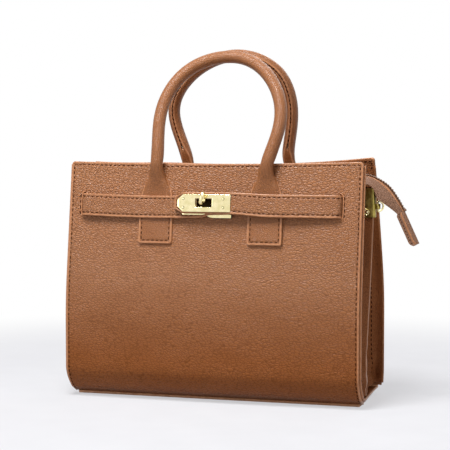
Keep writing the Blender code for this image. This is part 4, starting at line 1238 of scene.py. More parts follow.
@dataclass
class Shell:
    """Front and rear panels, the base with its piping, and the leather and cloth inside."""

    finishes: Finishes
    seam: Seam
    corner: float = 3.2 * MM
    wobble: float = 0.35 * MM
    calm_band: float = 25 * MM
    slit_stitch_gaps: tuple[float, float] = (3.4 * MM, 3.0 * MM)
    base_front: float = -32.9 * MM
    base_rear: float = 49.9 * MM
    base_inset: float = 3.6 * MM
    base_band: float = 1.5 * MM
    base_levels: tuple[float, float] = (0.25 * MM, 2.25 * MM)
    piping: float = 1.45 * MM
    piping_out: float = 1.3 * MM
    piping_inset: float = 4 * MM
    tub_half: float = 113.4 * MM
    tub_foot: float = 7.5 * MM
    tub_top: float = 211.5 * MM
    tub_inset: float = 1.4 * MM
    tub_wall: float = 0.9 * MM
    tub_gap: float = 0.5 * MM
    pucker: float = 0.4 * MM
    tub_columns: int = 40
    facing_half: float = 131 * MM
    facing_hinge: float = 23.8 * MM
    facing_level: float = 214.3 * MM

    def build(self) -> None:
        """Builds every piece of the shell."""
        for wall in Wall:
            self.panel(wall)
        for side in Side:
            Gusset(side, self.finishes, self.seam).build()
        self.base()
        for wall in Wall:
            self.pipe(wall)
        self.lining()
        for wall in Wall:
            self.facing(wall)

    def skin(self, wall: Wall, x: float, z: float) -> Vector:
        """Point of a panel's face with the slow waves that stiff leather has, calm along its edges."""
        wave = math.sin(x / (31 * MM) + 0.7) * math.sin(z / (43 * MM) + 1.1)
        wave += 0.5 * math.sin(x / (17 * MM) - z / (23 * MM))
        for inset in (FORM.half - abs(x), FORM.top(wall, x) - z, z - FORM.foot(wall, x)):
            wave *= smooth(inset / self.calm_band)
        return FORM.off(wall, x, z, self.wobble * wave)

    def panel_patch(self, wall: Wall) -> Patch:
        """The leather of one panel."""
        height = FORM.top(wall, 0) - FORM.foot(wall, 0)

        def spot(a: float, b: float) -> tuple[float, float]:
            x = a - FORM.half
            return x, mix(FORM.foot(wall, x), FORM.top(wall, x), b / height)

        slits = [SLITS.at(side) + FORM.half for side in Side]
        low = SLITS.middle - SLITS.half - FORM.foot_lift
        rows = (low, low + 2 * SLITS.half)

        def in_slit(a: float, b: float) -> bool:
            return min(abs(a - slit) for slit in slits) < SLITS.width and rows[0] < b < rows[1]

        patch = Patch(
            2 * FORM.half, height, lambda a, b: self.skin(wall, *spot(a, b)),
            lambda a, b: FORM.normal(wall, *spot(a, b)), PANEL_WALL, frozenset((Edge.LEFT, Edge.TOP, Edge.RIGHT)),
            corner=self.corner, pitch=5.5 * MM,
        )
        if wall is Wall.REAR:
            return patch
        columns = tuple(slit + step for slit in slits for step in (-SLITS.width, SLITS.width))
        return replace(patch, hole=in_slit, extra_columns=columns, extra_rows=rows)

    def panel(self, wall: Wall) -> None:
        """Builds a panel, sews its three free edges through both sides and the front one beside its slits."""
        patch = self.panel_patch(wall)
        piece(
            f"{wall.word}_shell", patch.build(), "bag_body", self.finishes.leather,
            [f"{wall.word}_panel"],
        )
        for inside in (False, True):
            self.seam.row(patch.run((Edge.LEFT, Edge.TOP, Edge.RIGHT), inside=inside))
        if wall is Wall.FRONT:
            levels = even(SLITS.middle - SLITS.half, SLITS.middle + SLITS.half, 12)
            for side, gap in zip(Side, self.slit_stitch_gaps):
                x = SLITS.at(side) + side.value * gap
                self.seam.row(([self.skin(wall, x, z) for z in levels], [FORM.normal(wall, x, z) for z in levels]))

    def base(self) -> None:
        """Builds the base, whose painted side edges show under the gussets."""
        reach, band = FORM.half - self.base_inset, self.base_band
        depth = self.base_rear - self.base_front

        def spot(x: float, y: float, level: float) -> Vector:
            return Vector((x, y, FORM.lift(x) * smooth((y - self.base_front) / depth) + level))

        bm = plate(
            with_lines(even(-reach, reach, 36), (band - reach, reach - band)),
            even(self.base_front, self.base_rear, 12), spot, *self.base_levels,
            paint=lambda x, y: abs(x) > reach - band, radius=0.4 * MM,
        )
        piece("base_leather", bm, "bag_body", self.finishes.leather, ["base_panel"])

    def pipe(self, wall: Wall) -> None:
        """Builds the piping along one edge of the base, a little uneven as paint is; its paint is lighter than the
        other edges', as painted highlight.
        """
        depth = FORM.front_foot if wall is Wall.FRONT else FORM.rear_foot_depth
        y = wall.value * (depth + self.piping_out - self.piping)
        lift = self.piping + 0.2 * MM - FORM.foot_lift
        end = FORM.half - self.piping_inset
        path = [Vector((x, y, lift + FORM.foot(wall, x))) for x in even(-end, end, 48)]
        radii = [self.piping * (1 + 0.03 * math.sin(index * 2.1)) for index in range(len(path))]
        piece(
            f"base_piping_{wall.word}", tube(path, radii, 14), "bag_body", self.finishes.piping,
            [f"base_welt_{wall.word}"],
        )

    def tub(self, step: float, share: float, extra: float) -> Vector:
        """Point of the cloth tub: a step round it, a share of its height and a distance into its wall."""
        columns = self.tub_columns
        number = round(step) % (2 * columns + 2)
        wall = Wall.FRONT if number <= columns else Wall.REAR
        along = number if wall is Wall.FRONT else number - columns - 1
        x = mix(self.tub_half, -self.tub_half, along / columns) * wall.value
        z = mix(self.tub_foot, self.tub_top, share)
        point = FORM.off(wall, x, z, -PANEL_WALL - self.tub_inset - extra)
        pucker = math.sin(step * 1.7) * self.pucker * smooth(share * 3) * smooth((1 - share) * 6)
        point.y -= (pucker + self.tub_gap) * wall.value
        point.z = z
        point.x *= 1 - extra / self.tub_half
        return point

    def lining(self) -> None:
        """Builds the cloth tub inside, open at the top, with soft vertical puckers."""
        parts = []
        for extra in (0.0, self.tub_wall):
            part = sheet(
                range(2 * self.tub_columns + 3), even(0, 1, 30), lambda step, share: self.tub(step, share, extra),
            )
            bmesh.ops.remove_doubles(part, verts=part.verts, dist=WELD)
            low = min(vert.co.z for vert in part.verts)
            floor = [edge for edge in part.edges if edge.is_boundary and edge.verts[0].co.z < low + MM]
            bmesh.ops.holes_fill(part, edges=floor, sides=0)
            ground = [vert for vert in part.verts if vert.co.z < low + MM / 10]
            bmesh.ops.translate(part, verts=ground, vec=(0, 0, extra))
            parts.append(part)
        bm = merge(parts)
        bmesh.ops.bridge_loops(bm, edges=[edge for edge in bm.edges if edge.is_boundary])
        bmesh.ops.recalc_face_normals(bm, faces=bm.faces)
        piece("cloth_tub", bm, "bag_body", self.finishes.cloth, ["lining"])

    def facing(self, wall: Wall) -> None:
        """Builds the leather strip between a rim and the zip: level by the zip, upright against the panel."""
        hinge = ZIP_MIDDLE + wall.value * self.facing_hinge
        inside = -PANEL_WALL - 0.45 * MM

        def face(x: float, share: float) -> Vector:
            if share <= 0.5:
                flat = share * 2
                rim = FORM.off(wall, x, self.facing_level - 0.3 * MM, inside)
                return Vector((x, mix(hinge, rim.y, smooth(flat) * 0.4 + flat * 0.6), self.facing_level))
            top = FORM.top(wall, x) - PANEL_WALL - 0.6 * MM
            return FORM.off(wall, x, mix(self.facing_level, top, share * 2 - 1), inside)

        def spot(x: float, share: float, level: float) -> Vector:
            out = slope_out(face, x, share, (MM / 10, 0.05), (-math.inf, 0), (math.inf, 1))
            hand = 1 if out.z - 0.2 * wall.value * out.y > 0 else -1
            return face(x, share) + out * (hand * level)

        bm = plate(even(-self.facing_half, self.facing_half, 40), even(0, 1, 12), spot, 0.0, -MM, radius=0.25 * MM)
        piece(
            f"{wall.word}_facing", bm, "bag_body", self.finishes.gusset,
            [f"zip_facing_{wall.word}"],
        )


# Handles

# Middle line of each handle above the rim, as shares of the feet's distance from the middle and of the arch's height
FRONT_ROUTE = (
    (-0.98, 0.0), (-0.985, 0.2), (-1.01, 0.39), (-0.965, 0.585), (-0.79, 0.78), (-0.52, 0.91), (-0.2, 0.98),
    (0.12, 1.0), (0.42, 0.982), (0.72, 0.905), (0.99, 0.77), (1.19, 0.58), (1.24, 0.385), (1.16, 0.195),
    (1.02, 0.0),
)
REAR_ROUTE = (
    (-0.98, 0.0), (-1.12, 0.2), (-1.23, 0.39), (-1.21, 0.54), (-1.05, 0.69), (-0.76, 0.83), (-0.38, 0.94),
    (0.08, 1.0), (0.5, 0.965), (0.8, 0.875), (0.98, 0.765), (1.08, 0.575), (1.06, 0.385), (0.98, 0.19),
    (0.9, 0.0),
)

# Along the strip from a sewn end in mm: its half width in mm, half the angle that it is rolled through, and how far
# the bend keeps to its edges, from 1 for an even roll up to 8 for a flat strip with curled edges
STRIP_SHAPE = (
    (0, 16.75, 0.02, 8.0), (24, 16.75, 0.03, 8.0), (36, 16.5, 0.1, 8.0), (43, 16.2, 0.35, 8.0), (48, 15.7, 0.8, 6.0),
    (53, 14.9, 1.4, 3.8), (59, 13.7, 2.0, 2.2), (64, 12.8, 2.25, 1.7), (71, 12.4, 2.4, 1.3), (78, 13.2, 2.5, 1.15),
    (85, 15.3, 2.6, 1.05), (94, 17.8, 2.95, 1.0), (104, 18.4, 3.07, 1.0),
)


def strip_shape(reach: float) -> tuple[float, float, float]:
    """Half width, roll angle and curl of the handle's strip at a distance from its sewn end."""
    half, angle, curl = (lookup([(row[0], row[number]) for row in STRIP_SHAPE], reach / MM) for number in (1, 2, 3))
    return half * MM, angle, curl


def hermite(first: Vector, last: Vector, start: Vector, end: Vector, share: float) -> Vector:
    """Point on a cubic between two points with these slopes at its ends."""
    square, cube = share * share, share**3
    return (
        first * (2 * cube - 3 * square + 1) + start * (cube - 2 * square + share)
        + last * (3 * square - 2 * cube) + end * (cube - square)
    )


@dataclass
class Handle:
    """One handle: a strip of leather sewn flat on the panel at both ends and rolled round a rope between them."""

    wall: Wall
    body: str
    route: tuple[tuple[float, float], ...]
    finishes: Finishes
    apex: float
    apex_depth: float
    foot_x: float = 54 * MM
    radius: float = 6 * MM
    skin: float = 1.9 * MM
    width: float = 33.5 * MM
    # Heights where the sewn end starts, where the strip leaves the panel and where it begins to close to a roll
    foot: float = 151 * MM
    leave: float = 198 * MM
    knee: float = 206.2 * MM
    # How far the middle of its thickness stands off the panel, up to the knee and from there to the rim
    flat_out: tuple[float, float] = (0.3 * MM, 3.1 * MM)
    roll_out: tuple[float, float] = (2.8 * MM, 6.6 * MM)
    sewn_reach: float = 42 * MM
    slit_reach: float = 95 * MM
    roll_steps: int = 16
    stations: list[tuple[float, Vector, Vector]] = field(default_factory=list)

    def build(self) -> None:
        """Builds the leather and its threads, both bending over the top of the belt."""
        self.stations = self.strip_line()
        patch = self.patch()
        word = self.wall.word
        leather = piece(
            f"{word}_handle_leather", patch.build(), None,
            self.finishes.handle, [f"handle_{word}", f"chape_{word}_left", f"chape_{word}_right"],
        )
        seam = Seam()
        rest = patch.height - 2 * STITCH_INSET - self.sewn_reach
        seam.row(patch.run((Edge.RIGHT, Edge.BOTTOM, Edge.LEFT), start=rest, end=rest))
        seam.row(patch.run((Edge.LEFT, Edge.TOP, Edge.RIGHT), start=rest, end=rest))
        seam.row(self.slit(patch))
        thread = seam.piece(f"{word}_handle_stitching", None, self.finishes.thread)
        for item in (leather, thread):
            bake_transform(item)

    def sewn(self, side: Side, z: float, rim: float) -> tuple[Vector, float]:
        """Middle of the strip's thickness by the panel, and half that thickness, which grows into the roll."""
        if z < self.knee:
            out, half = mix(*self.flat_out, smooth((z - self.leave) / (9 * MM))), self.skin
        else:
            flare = smooth((z - self.knee) / (rim - self.knee))
            out, half = mix(*self.roll_out, flare), mix(2.2 * MM, self.radius, flare)
        return FORM.off(self.wall, side.value * self.foot_x, z, out), half

    def strip_line(self) -> list[tuple[float, Vector, Vector]]:
        """Middle of the strip's outer face from one sewn end to the other.

        Returns:
            For each station the distance so far, the point and the direction away from the bag.
        """
        rim = FORM.top(self.wall, self.foot_x)
        levels = [self.foot + index * 4 * MM for index in range(13)]
        levels += [level * MM for level in (203, 206.5, 212, 217, 223)]
        rows = [self.sewn(Side.LEFT, z, rim) for z in levels]
        top = FORM.off(self.wall, self.foot_x, rim, self.roll_out[1])
        for share in even(0, 1, 30):
            across, up = spline(self.route, share)
            y = mix(top.y, self.apex_depth, clamp(up) ** 1.6)
            rows.append((Vector((across * self.foot_x, y, mix(top.z, self.apex, up))), self.radius))
        rows += [self.sewn(Side.RIGHT, z, rim) for z in reversed(levels)]
        points = relaxed([point for point, _ in rows], 3)
        inward = Vector((0, -self.wall.value, 0))
        gone, stations = 0.0, []
        for index, (point, (_, half)) in enumerate(zip(points, rows)):
            along = (points[min(index + 1, len(points) - 1)] - points[max(index - 1, 0)]).normalized()
            out = -(inward - along * inward.dot(along)).normalized()
            face = point + out * half
            if stations:
                gone += (face - stations[-1][1]).length
            stations.append((gone, face, out))
        return stations

    def station(self, b: float) -> tuple[Vector, Vector, Vector]:
        """Point, direction out and direction along the strip at a distance, on a smooth curve."""
        last = len(self.stations) - 1
        index = next((number for number in range(last) if self.stations[number + 1][0] >= b), last - 1)
        near = [self.stations[min(max(index + step, 0), last)] for step in (-1, 0, 1, 2)]
        slopes = [(high[1] - low[1]) / (high[0] - low[0]) for low, high in zip(near, near[2:])]
        run = near[2][0] - near[1][0]
        share = clamp((b - near[1][0]) / run)
        point = hermite(near[1][1], near[2][1], slopes[0] * run, slopes[1] * run, share)
        out = near[1][2].lerp(near[2][2], share).normalized()
        return point, out, slopes[0].lerp(slopes[1], share).normalized()

    def section(self, a: float, b: float) -> tuple[Vector, Vector]:
        """Point of the strip's face and the direction out of it, a rolled bend away from its middle line."""
        point, out, along = self.station(b)
        out = (out - along * out.dot(along)).normalized()
        side = out.cross(along) * -self.wall.value
        half, angle, curl = strip_shape(min(b, self.stations[-1][0] - b))
        share = 2 * a / self.width - 1
        sign = math.copysign(1, share)
        across = deep = 0.0
        for step in range(self.roll_steps):
            turn = angle * (abs(share) * (step + 0.5) / self.roll_steps) ** curl
            across += math.cos(turn)
            deep += math.sin(turn)
        reach = half * abs(share) / self.roll_steps
        turn = angle * abs(share) ** curl
        place = point + side * (across * reach * sign) - out * (deep * reach)
        return place, out * math.cos(turn) + side * (math.sin(turn) * sign)

    def filled(self, a: float, b: float) -> Vector | None:
        """Back of the strip's roots, where a filler makes the roll solid."""
        reach = min(b, self.stations[-1][0] - b)
        share = smooth((reach - self.sewn_reach) / (8 * MM)) * smooth((100 * MM - reach) / (8 * MM))
        if share <= 0:
            return None
        flat = self.section(0, b)[0].lerp(self.section(self.width, b)[0], a / self.width)
        face, out = self.section(a, b)
        return (face - out * self.skin).lerp(flat, share)

    def patch(self) -> Patch:
        """The strip as a patch. Its width is the width of its flat sewn ends."""
        return Patch(
            self.width, self.stations[-1][0], lambda a, b: self.section(a, b)[0], lambda a, b: self.section(a, b)[1],
            self.skin, pitch=3 * MM, filler=self.filled,
        )

    def slit(self, patch: Patch) -> Line:
        """Line along the open side of the roll, where the thread crosses from lip to lip."""
        steps = round((patch.height - 2 * self.slit_reach) / (2 * MM))
        places = even(self.slit_reach, patch.height - self.slit_reach, steps)
        points = [(patch.face(0, b) + patch.face(patch.width, b)) / 2 for b in places]
        return points, [-self.station(b)[1] for b in places]


# Belt and lock

@dataclass
class Belt:
    """Two straps that come out of slits in the front panel and meet at the lock."""

    finishes: Finishes
    height: float = 21.2 * MM
    wall: float = 1.8 * MM
    left_end: float = 20 * MM
    right_end: float = -33.6 * MM
    shoulder: float = -25.2 * MM
    face_out: float = 4.6 * MM
    lap: float = 3.4 * MM
    sag: float = 1.9 * MM
    edge_rise: float = 2.4 * MM
    tip_rise: float = 2.0 * MM
    hole_x: tuple[float, float] = (-12.6 * MM, 4.0 * MM)
    stitch_start: float = 3.5 * MM

    def build(self) -> None:
        """Builds both straps, their threads and the lips of the slits."""
        for name, patch, nodes, near, far in (
            ("left", self.left_patch(), ["strap_left", "strap_anchor_left"], -0.1302, -0.121),
            ("right", self.right_patch(), ["strap_right", "strap_anchor_right"], 0.1253, 0.116),
        ):
            leather = piece(f"belt_strap_{name}", patch.build(), None, self.finishes.belt, nodes)
            seam = Seam()
            if name == "left":
                seam.row(patch.run((Edge.BOTTOM,), end=self.stitch_start))
                seam.row(patch.run((Edge.TOP,), start=self.stitch_start))
            else:
                edges = (Edge.BOTTOM, Edge.LEFT, Edge.TOP)
                seam.row(patch.run(edges, start=self.stitch_start, end=self.stitch_start))
            thread = seam.piece(f"belt_stitching_{name}", None, self.finishes.thread)
            for item in (leather, thread):
                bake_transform(item)
        for side in Side:
            self.lip(side)

    def exit_path(self, side: Side) -> list[tuple[float, float]]:
        """Start of a strap's line, as places along and off the panel: up through its slit and over its lip."""
        start = SLITS.at(side) + side.value * 0.9 * MM
        steps = ((0.0, -3.0), (0.0, 1.2), (0.7, 3.2), (2.2, 4.3), (5.0, self.face_out / MM))
        return [(start - side.value * run * MM, out * MM) for run, out in steps]

    def left_patch(self) -> Patch:
        """Left strap: out of its slit, along the panel with a slight sag, and under the other strap."""
        path = [*self.exit_path(Side.LEFT), (self.left_end, self.face_out)]
        start = path[0][0]

        def spot(a: float, b: float) -> tuple[float, float, float]:
            x, out = along_path(path, a)
            sag = self.sag * math.sin(math.pi * clamp((x - start) / (self.left_end - start)))
            rise = self.edge_rise * smooth((x + 8 * MM) / (8 * MM)) * (1 - b / self.height)
            return x, SLITS.middle + b - self.height / 2 - sag + rise, out

        middle = path_length(path) - self.left_end
        across = tuple(middle + x for x in self.hole_x)
        return self.patch(path, spot, (Edge.BOTTOM, Edge.TOP, Edge.RIGHT), across, (6.6 * MM, 17.8 * MM))

    def right_patch(self) -> Patch:
        """Right strap: laps over the left one and carries the lock's outer plate on its pointed tip."""
        top = self.face_out + self.lap
        path = self.exit_path(Side.RIGHT)
        path += [(path[0][0] - 30 * MM, self.face_out + 0.9 * MM), (29 * MM, top), (self.right_end, top)]
        path.reverse()

        def spot(a: float, b: float) -> tuple[float, float, float]:
            x, out = along_path(path, a)
            near_lock = smooth((62 * MM - x) / (44 * MM))
            taper = clamp((self.shoulder - x) / (self.shoulder - self.right_end))
            high = mix(1.0, 0.95, near_lock) * mix(1.0, 0.5, taper)
            return x, SLITS.middle + self.tip_rise * near_lock + (b - self.height / 2) * high, out

        across = tuple(x - self.right_end for x in self.hole_x)
        return self.patch(path, spot, (Edge.BOTTOM, Edge.TOP, Edge.LEFT), across, (6.2 * MM, 15.0 * MM))

    def patch(
        self, path: Sequence[tuple[float, float]], spot: Callable[[float, float], tuple[float, float, float]],
        edges: Sequence[Edge], across: tuple[float, ...], up: tuple[float, float],
    ) -> Patch:
        """Makes a strap's patch.

        Args:
            path: The strap's line, as places along and off the panel.
            spot: Gives the place along, up and off the panel for a place on the strap.
            edges: Its sewn edges.
            across: Where its hole for the knob starts and ends along it.
            up: Where the hole starts and ends up it.

        Returns:
            The patch.
        """
        length, step = path_length(path), 0.2 * MM

        def face(a: float, b: float) -> Vector:
            return FORM.off(Wall.FRONT, *spot(a, b))

        return Patch(
            length, self.height, face,
            lambda a, b: slope_out(face, a, b, (step, step), (0.0, -math.inf), (length, math.inf)), self.wall,
            frozenset(edges), corner=1.6 * MM, pitch=3.5 * MM, extra_columns=across, extra_rows=up,
            hole=lambda a, b: across[0] < a < across[1] and up[0] < b < up[1],
        )

    def lip(self, side: Side) -> None:
        """Builds the raised painted lip round the outer side of a slit."""
        outline = [(SLITS.at(side) + side.value * run, rise) for run, rise in in_mm((
            (-1.5, 12.6), (0.6, 11.7), (1.7, 10.2), (2.1, 5), (2.1, -5), (1.7, -10), (0.7, -11.3), (-1.2, -11.6),
        ))]
        shares = even(0, 1, 28)
        places = [spline(outline, share) for share in shares]
        path = [FORM.off(Wall.FRONT, place.x, SLITS.middle + place.y, 0.15 * MM) for place in places]
        radii = [0.8 * MM * math.sin(math.pi * mix(0.12, 0.88, share)) ** 0.35 for share in shares]
        piece(f"slit_lip_{side.word}", tube(path, radii, 10), "bag_body", self.finishes.edge)


def path_length(path: Sequence[tuple[float, float]]) -> float:
    """Length of a flat path of straight runs."""
    return sum(math.dist(before, after) for before, after in zip(path, path[1:]))


def along_path(path: Sequence[tuple[float, float]], distance: float) -> tuple[float, float]:
    """Point of a flat path at a distance from its start. It runs on straight past both ends."""
    for before, after in zip(path, path[1:]):
        length = math.dist(before, after)
        if distance <= length or after == path[-1]:
            share = distance / length
            return mix(before[0], after[0], share), mix(before[1], after[1], share)
        distance -= length
    return path[-1]


@dataclass
class Lock:
    """Turning lock: three plates, four rivets and an upright loop that turns in their slots."""

    finishes: Finishes
    plate_wall: float = 1.0 * MM
    base_wall: float = 2.2 * MM
    half: float = 8.4 * MM
    tip: float = -30.2 * MM
    shoulder: float = -24.6 * MM
    end: float = 22.2 * MM
    tip_half: float = 3.2 * MM
    outer_bottom: float = 8.3 * MM
    slot_x: tuple[float, float] = (-12.4 * MM, 3.8 * MM)
    slot_y: tuple[float, float] = (-3.7 * MM, 4.4 * MM)
    rivet_x: tuple[float, float] = (-24.2 * MM, 15.1 * MM)
    rivet_y: tuple[float, float] = (-4.1 * MM, 4.1 * MM)
    knob_x: float = -4.4 * MM
    knob_y: float = 2.6 * MM
    loop_wire: float = 1.75 * MM
    loop_out: float = 13.5 * MM
    # The loop's half lengths along, up and out from the panel
    loop_halves: tuple[float, float, float] = (0.9 * MM, 4.5 * MM, 2.3 * MM)
    frame: Matrix = field(default_factory=lambda: FORM.frame(Wall.FRONT, 0.0, 189 * MM))

    def build(self) -> None:
        """Builds the lock's metal."""
        self.outer_plate()
        self.inner_plate(
            "lock_left_plate", "lock_plate_left", "left_belt", (-26 * MM, 19 * MM), (-10.9 * MM, -7.6 * MM), 4.9 * MM,
        )
        self.inner_plate(
            "lock_panel_plate", "lock_base_plate", "bag_body", (-26 * MM, 21.5 * MM), (-10.5 * MM, -13.4 * MM),
            0.3 * MM,
        )
        self.rivets()
        self.knob()

    def metal(self, name: str, bm: BMesh, body: str, rim: Sequence[bpy.types.Material], nodes: Sequence[str]) -> None:
        """Makes a piece of gold-plated metal."""
        piece(name, bm, body, self.finishes.gold + rim, nodes, crisp=40)

    def at(self, x: float, y: float, out: float) -> Vector:
        """Point by the lock: along, up and out from the panel's face."""
        return self.frame @ Vector((x, y, out))

    def in_slot(self, x: float, y: float) -> bool:
        """Whether a place lies in the slot that the loop turns in."""
        return self.slot_x[0] < x < self.slot_x[1] and self.slot_y[0] < y < self.slot_y[1]

    def outer_plate(self) -> None:
        """Builds the pointed plate on the right strap, with a slot for the loop."""
        def spot(x: float, y: float, out: float) -> Vector:
            taper = clamp((self.shoulder - x) / (self.shoulder - self.tip))
            return self.at(x, y * mix(1.0, self.tip_half / self.half, taper), out)

        bm = plate(
            with_lines(even(self.tip, self.end, 24), (self.shoulder, *self.slot_x)),
            with_lines(even(-self.half, self.half, 10), self.slot_y), spot, self.outer_bottom + self.plate_wall,
            self.outer_bottom, hole=self.in_slot, radius=0.55 * MM,
        )
        self.metal("lock_outer_plate", bm, "right_belt", self.finishes.gold, ["lock_plate_right"])

    def inner_plate(
        self, name: str, node: str, body: str, ends: tuple[float, float], lows: tuple[float, float], out: float,
    ) -> None:
        """Builds a plate behind the outer one, whose lower edge shows below the strap.

        Args:
            name: The piece's name.
            node: The node that it stands for.
            body: The body that it rides on. The strap's plate is open at the slot, and the panel's has dark metal there
                and on its edges, painted shade.
            ends: Where it starts and ends along.
            lows: Height of its lower edge at its left and at its right half.
            out: Distance of its back from the panel.
        """
        is_open = body == "left_belt"

        def spot(x: float, y: float, level: float) -> Vector:
            fall = mix(1.0, lows[1] / lows[0], smooth((x + 6 * MM) / (9 * MM)))
            return self.at(x, y * fall if y < self.slot_y[0] else y, level)

        bm = plate(
            with_lines(even(*ends, 16), self.slot_x), with_lines(even(lows[0], self.half - 0.8 * MM, 8), self.slot_y),
            spot, out + (self.plate_wall if is_open else self.base_wall), out, paint=None if is_open else self.in_slot,
            hole=self.in_slot if is_open else None, radius=0.3 * MM,
        )
        # The panel's plate shows the dark metal in its slot and on its edges: painted shade
        self.metal(name, bm, body, self.finishes.gold if is_open else self.finishes.shade, [node])

    def rivets(self) -> None:
        """Builds four rivets, each a flat head in a turned ring, with painted shade in the groove between them."""
        top = self.outer_bottom + self.plate_wall + 0.02 * MM
        profile = (
            (0.0, 0.14), (0.7, 0.13), (0.95, 0.08), (1.02, -0.02), (1.3, -0.02), (1.36, 0.05), (1.5, 0.04),
            (1.55, -0.1), (0.0, -0.6),
        )
        head = lathe(profile, Matrix.Identity(4), 20)
        # The ring of faces round the groove takes the dark metal: painted shade
        for face in head.faces:
            face.material_index = int(0.98 * MM < face.calc_center_median().xy.length < 1.34 * MM)
        places = [self.frame @ Matrix.Translation((x, y, top)) for x in self.rivet_x for y in self.rivet_y]
        nodes = [f"lock_rivet_{number}" for number in (1, 2, 3, 4)]
        self.metal("lock_rivets", copies(head, places), "right_belt", self.finishes.shade, nodes)

    def knob(self) -> None:
        """Builds the upright loop on its stem."""
        turns = even(0, 2 * math.pi, 36)[:-1]
        along, up, out = self.loop_halves
        loop = [
            self.at(
                self.knob_x + along * math.cos(turn), self.knob_y + self.loop_wire + up * math.cos(turn),
                self.loop_out + out * math.sin(turn),
            )
            for turn in turns
        ]
        radii = [self.loop_wire + 0.15 * MM * math.cos(2 * turn) for turn in turns]
        profile = (
            (0.0, 2.9), (1.7, 2.9), (1.7, 9.2), (2.3, 9.7), (2.4, 10.3), (1.9, 11.0), (1.4, 11.6), (0.0, 11.8),
        )
        stem = lathe(profile, self.frame @ Matrix.Translation((self.knob_x, self.knob_y, 0)), 24)
        bm = merge([tube(loop, radii, 12, closed=True), stem])
        piece("lock_loop", bm, "lock_knob", self.finishes.gold, ["turn_knob"], crisp=50)


# Gusset clips

@dataclass
class Clip:
    """Bracket that grips a gusset's folded crest, with its screw, its knuckle and the D ring that turns in it."""

    side: Side
    finishes: Finishes
    crest_y: float = -10 * MM
    back: float = 133.6 * MM
    front: float = 150.6 * MM
    half: float = 3.1 * MM
    wall: float = 1.2 * MM
    bend: float = 2.4 * MM
    bottom: float = 176.6 * MM
    top: float = 204.4 * MM
    screw_x: float = 142.1 * MM
    screw_z: float = 181.6 * MM
    knuckle_x: float = 152.5 * MM
    knuckle_half: float = 2.5 * MM
    ring_z: float = 187 * MM
    ring_wire: float = 0.95 * MM
    ring_half: float = 4.75 * MM
    ring_reach: float = 10.5 * MM
    ring_rest: float = math.radians(72)

    def build(self) -> None:
        """Builds the bracket with its knuckle, the screw and the ring."""
        brass, word, sign = self.finishes.brass, self.side.word, self.side.value
        piece(
            f"clip_bracket_{word}", merge([self.bracket(), self.knuckle()]), "bag_body",
            brass * 2, [f"gusset_clip_{word}"], crisp=50,
        )
        head = (
            (0.0, 0.55), (1.0, 0.5), (1.35, 0.3), (1.7, 0.32), (2.0, 0.95), (2.35, 1.3), (2.7, 1.25), (2.95, 0.8),
            (3.0, 0.0), (0.0, 0.0),
        )
        place = Matrix.Translation((sign * self.screw_x, self.crest_y - self.half - 0.1 * MM, self.screw_z))
        screw = lathe(head, place @ Matrix.Rotation(math.pi / 2, 4, "X"), 28)
        piece(
            f"clip_screw_head_{word}", screw, "bag_body", self.finishes.gold,
            [f"clip_screw_{word}"], crisp=60,
        )
        piece(f"clip_ring_{word}", self.ring(), f"{word}_ring", self.finishes.gold, [f"d_ring_{word}"])

    def bracket(self) -> BMesh:
        """Bends the bracket's strip round the crest: cheek, rounded nose and cheek."""
        centre = self.front - self.bend
        path = [((x, -self.half), (0.0, -1.0)) for x in even(self.back, centre, 6)[:-1]]
        for side, turns in ((-1, (-math.pi / 2, 0.0)), (1, (0.0, math.pi / 2))):
            middle = side * (self.half - self.bend)
            for turn in even(*turns, 7):
                out = math.cos(turn), math.sin(turn)
                path.append(((centre + self.bend * out[0], middle + self.bend * out[1]), out))
        path += [((x, self.half), (0.0, 1.0)) for x in even(centre, self.back, 6)[1:]]

        def spot(row: float, z: float, depth: float) -> Vector:
            (x, y), (out_x, out_y) = path[round(row)]
            return Vector((self.side.value * (x - out_x * depth), self.crest_y + y - out_y * depth, z))

        rows = [self.bottom, *even(self.bottom + MM, self.top - MM, 4), self.top]
        return plate(range(len(path)), rows, spot, 0.0, self.wall, radius=0.3 * MM)

    def knuckle(self) -> BMesh:
        """Turns the bored barrel that holds the ring's straight bar."""
        bore, skin, half, edge = 1.28, 2.4, self.knuckle_half / MM, 0.25
        profile = (
            (bore, -half), (skin - edge, -half), (skin, -half + edge), (skin, half - edge), (skin - edge, half),
            (bore, half), (bore, -half),
        )
        return lathe(profile, Matrix.Translation((self.side.value * self.knuckle_x, self.crest_y, self.ring_z)), 24)

    def ring(self) -> BMesh:
        """Bends the D ring: a straight bar in the knuckle and a bow swung towards the rear."""
        flat = Vector((self.side.value * math.cos(self.ring_rest), math.sin(self.ring_rest), 0))
        centre = Vector((self.side.value * self.knuckle_x, self.crest_y, self.ring_z))
        loop = [
            (self.ring_reach * max(math.cos(turn), 0) ** 0.9, self.ring_half * math.sin(turn))
            for turn in even(-math.pi / 2, math.pi / 2, 18)
        ]
        loop += [(0.0, height) for height in even(self.ring_half, -self.ring_half, 6)[1:-1]]
        path = [centre + flat * reach + Vector((0, 0, height)) for reach, height in loop]
        return tube(path, [self.ring_wire] * len(path), 12, closed=True)


# Zip closure

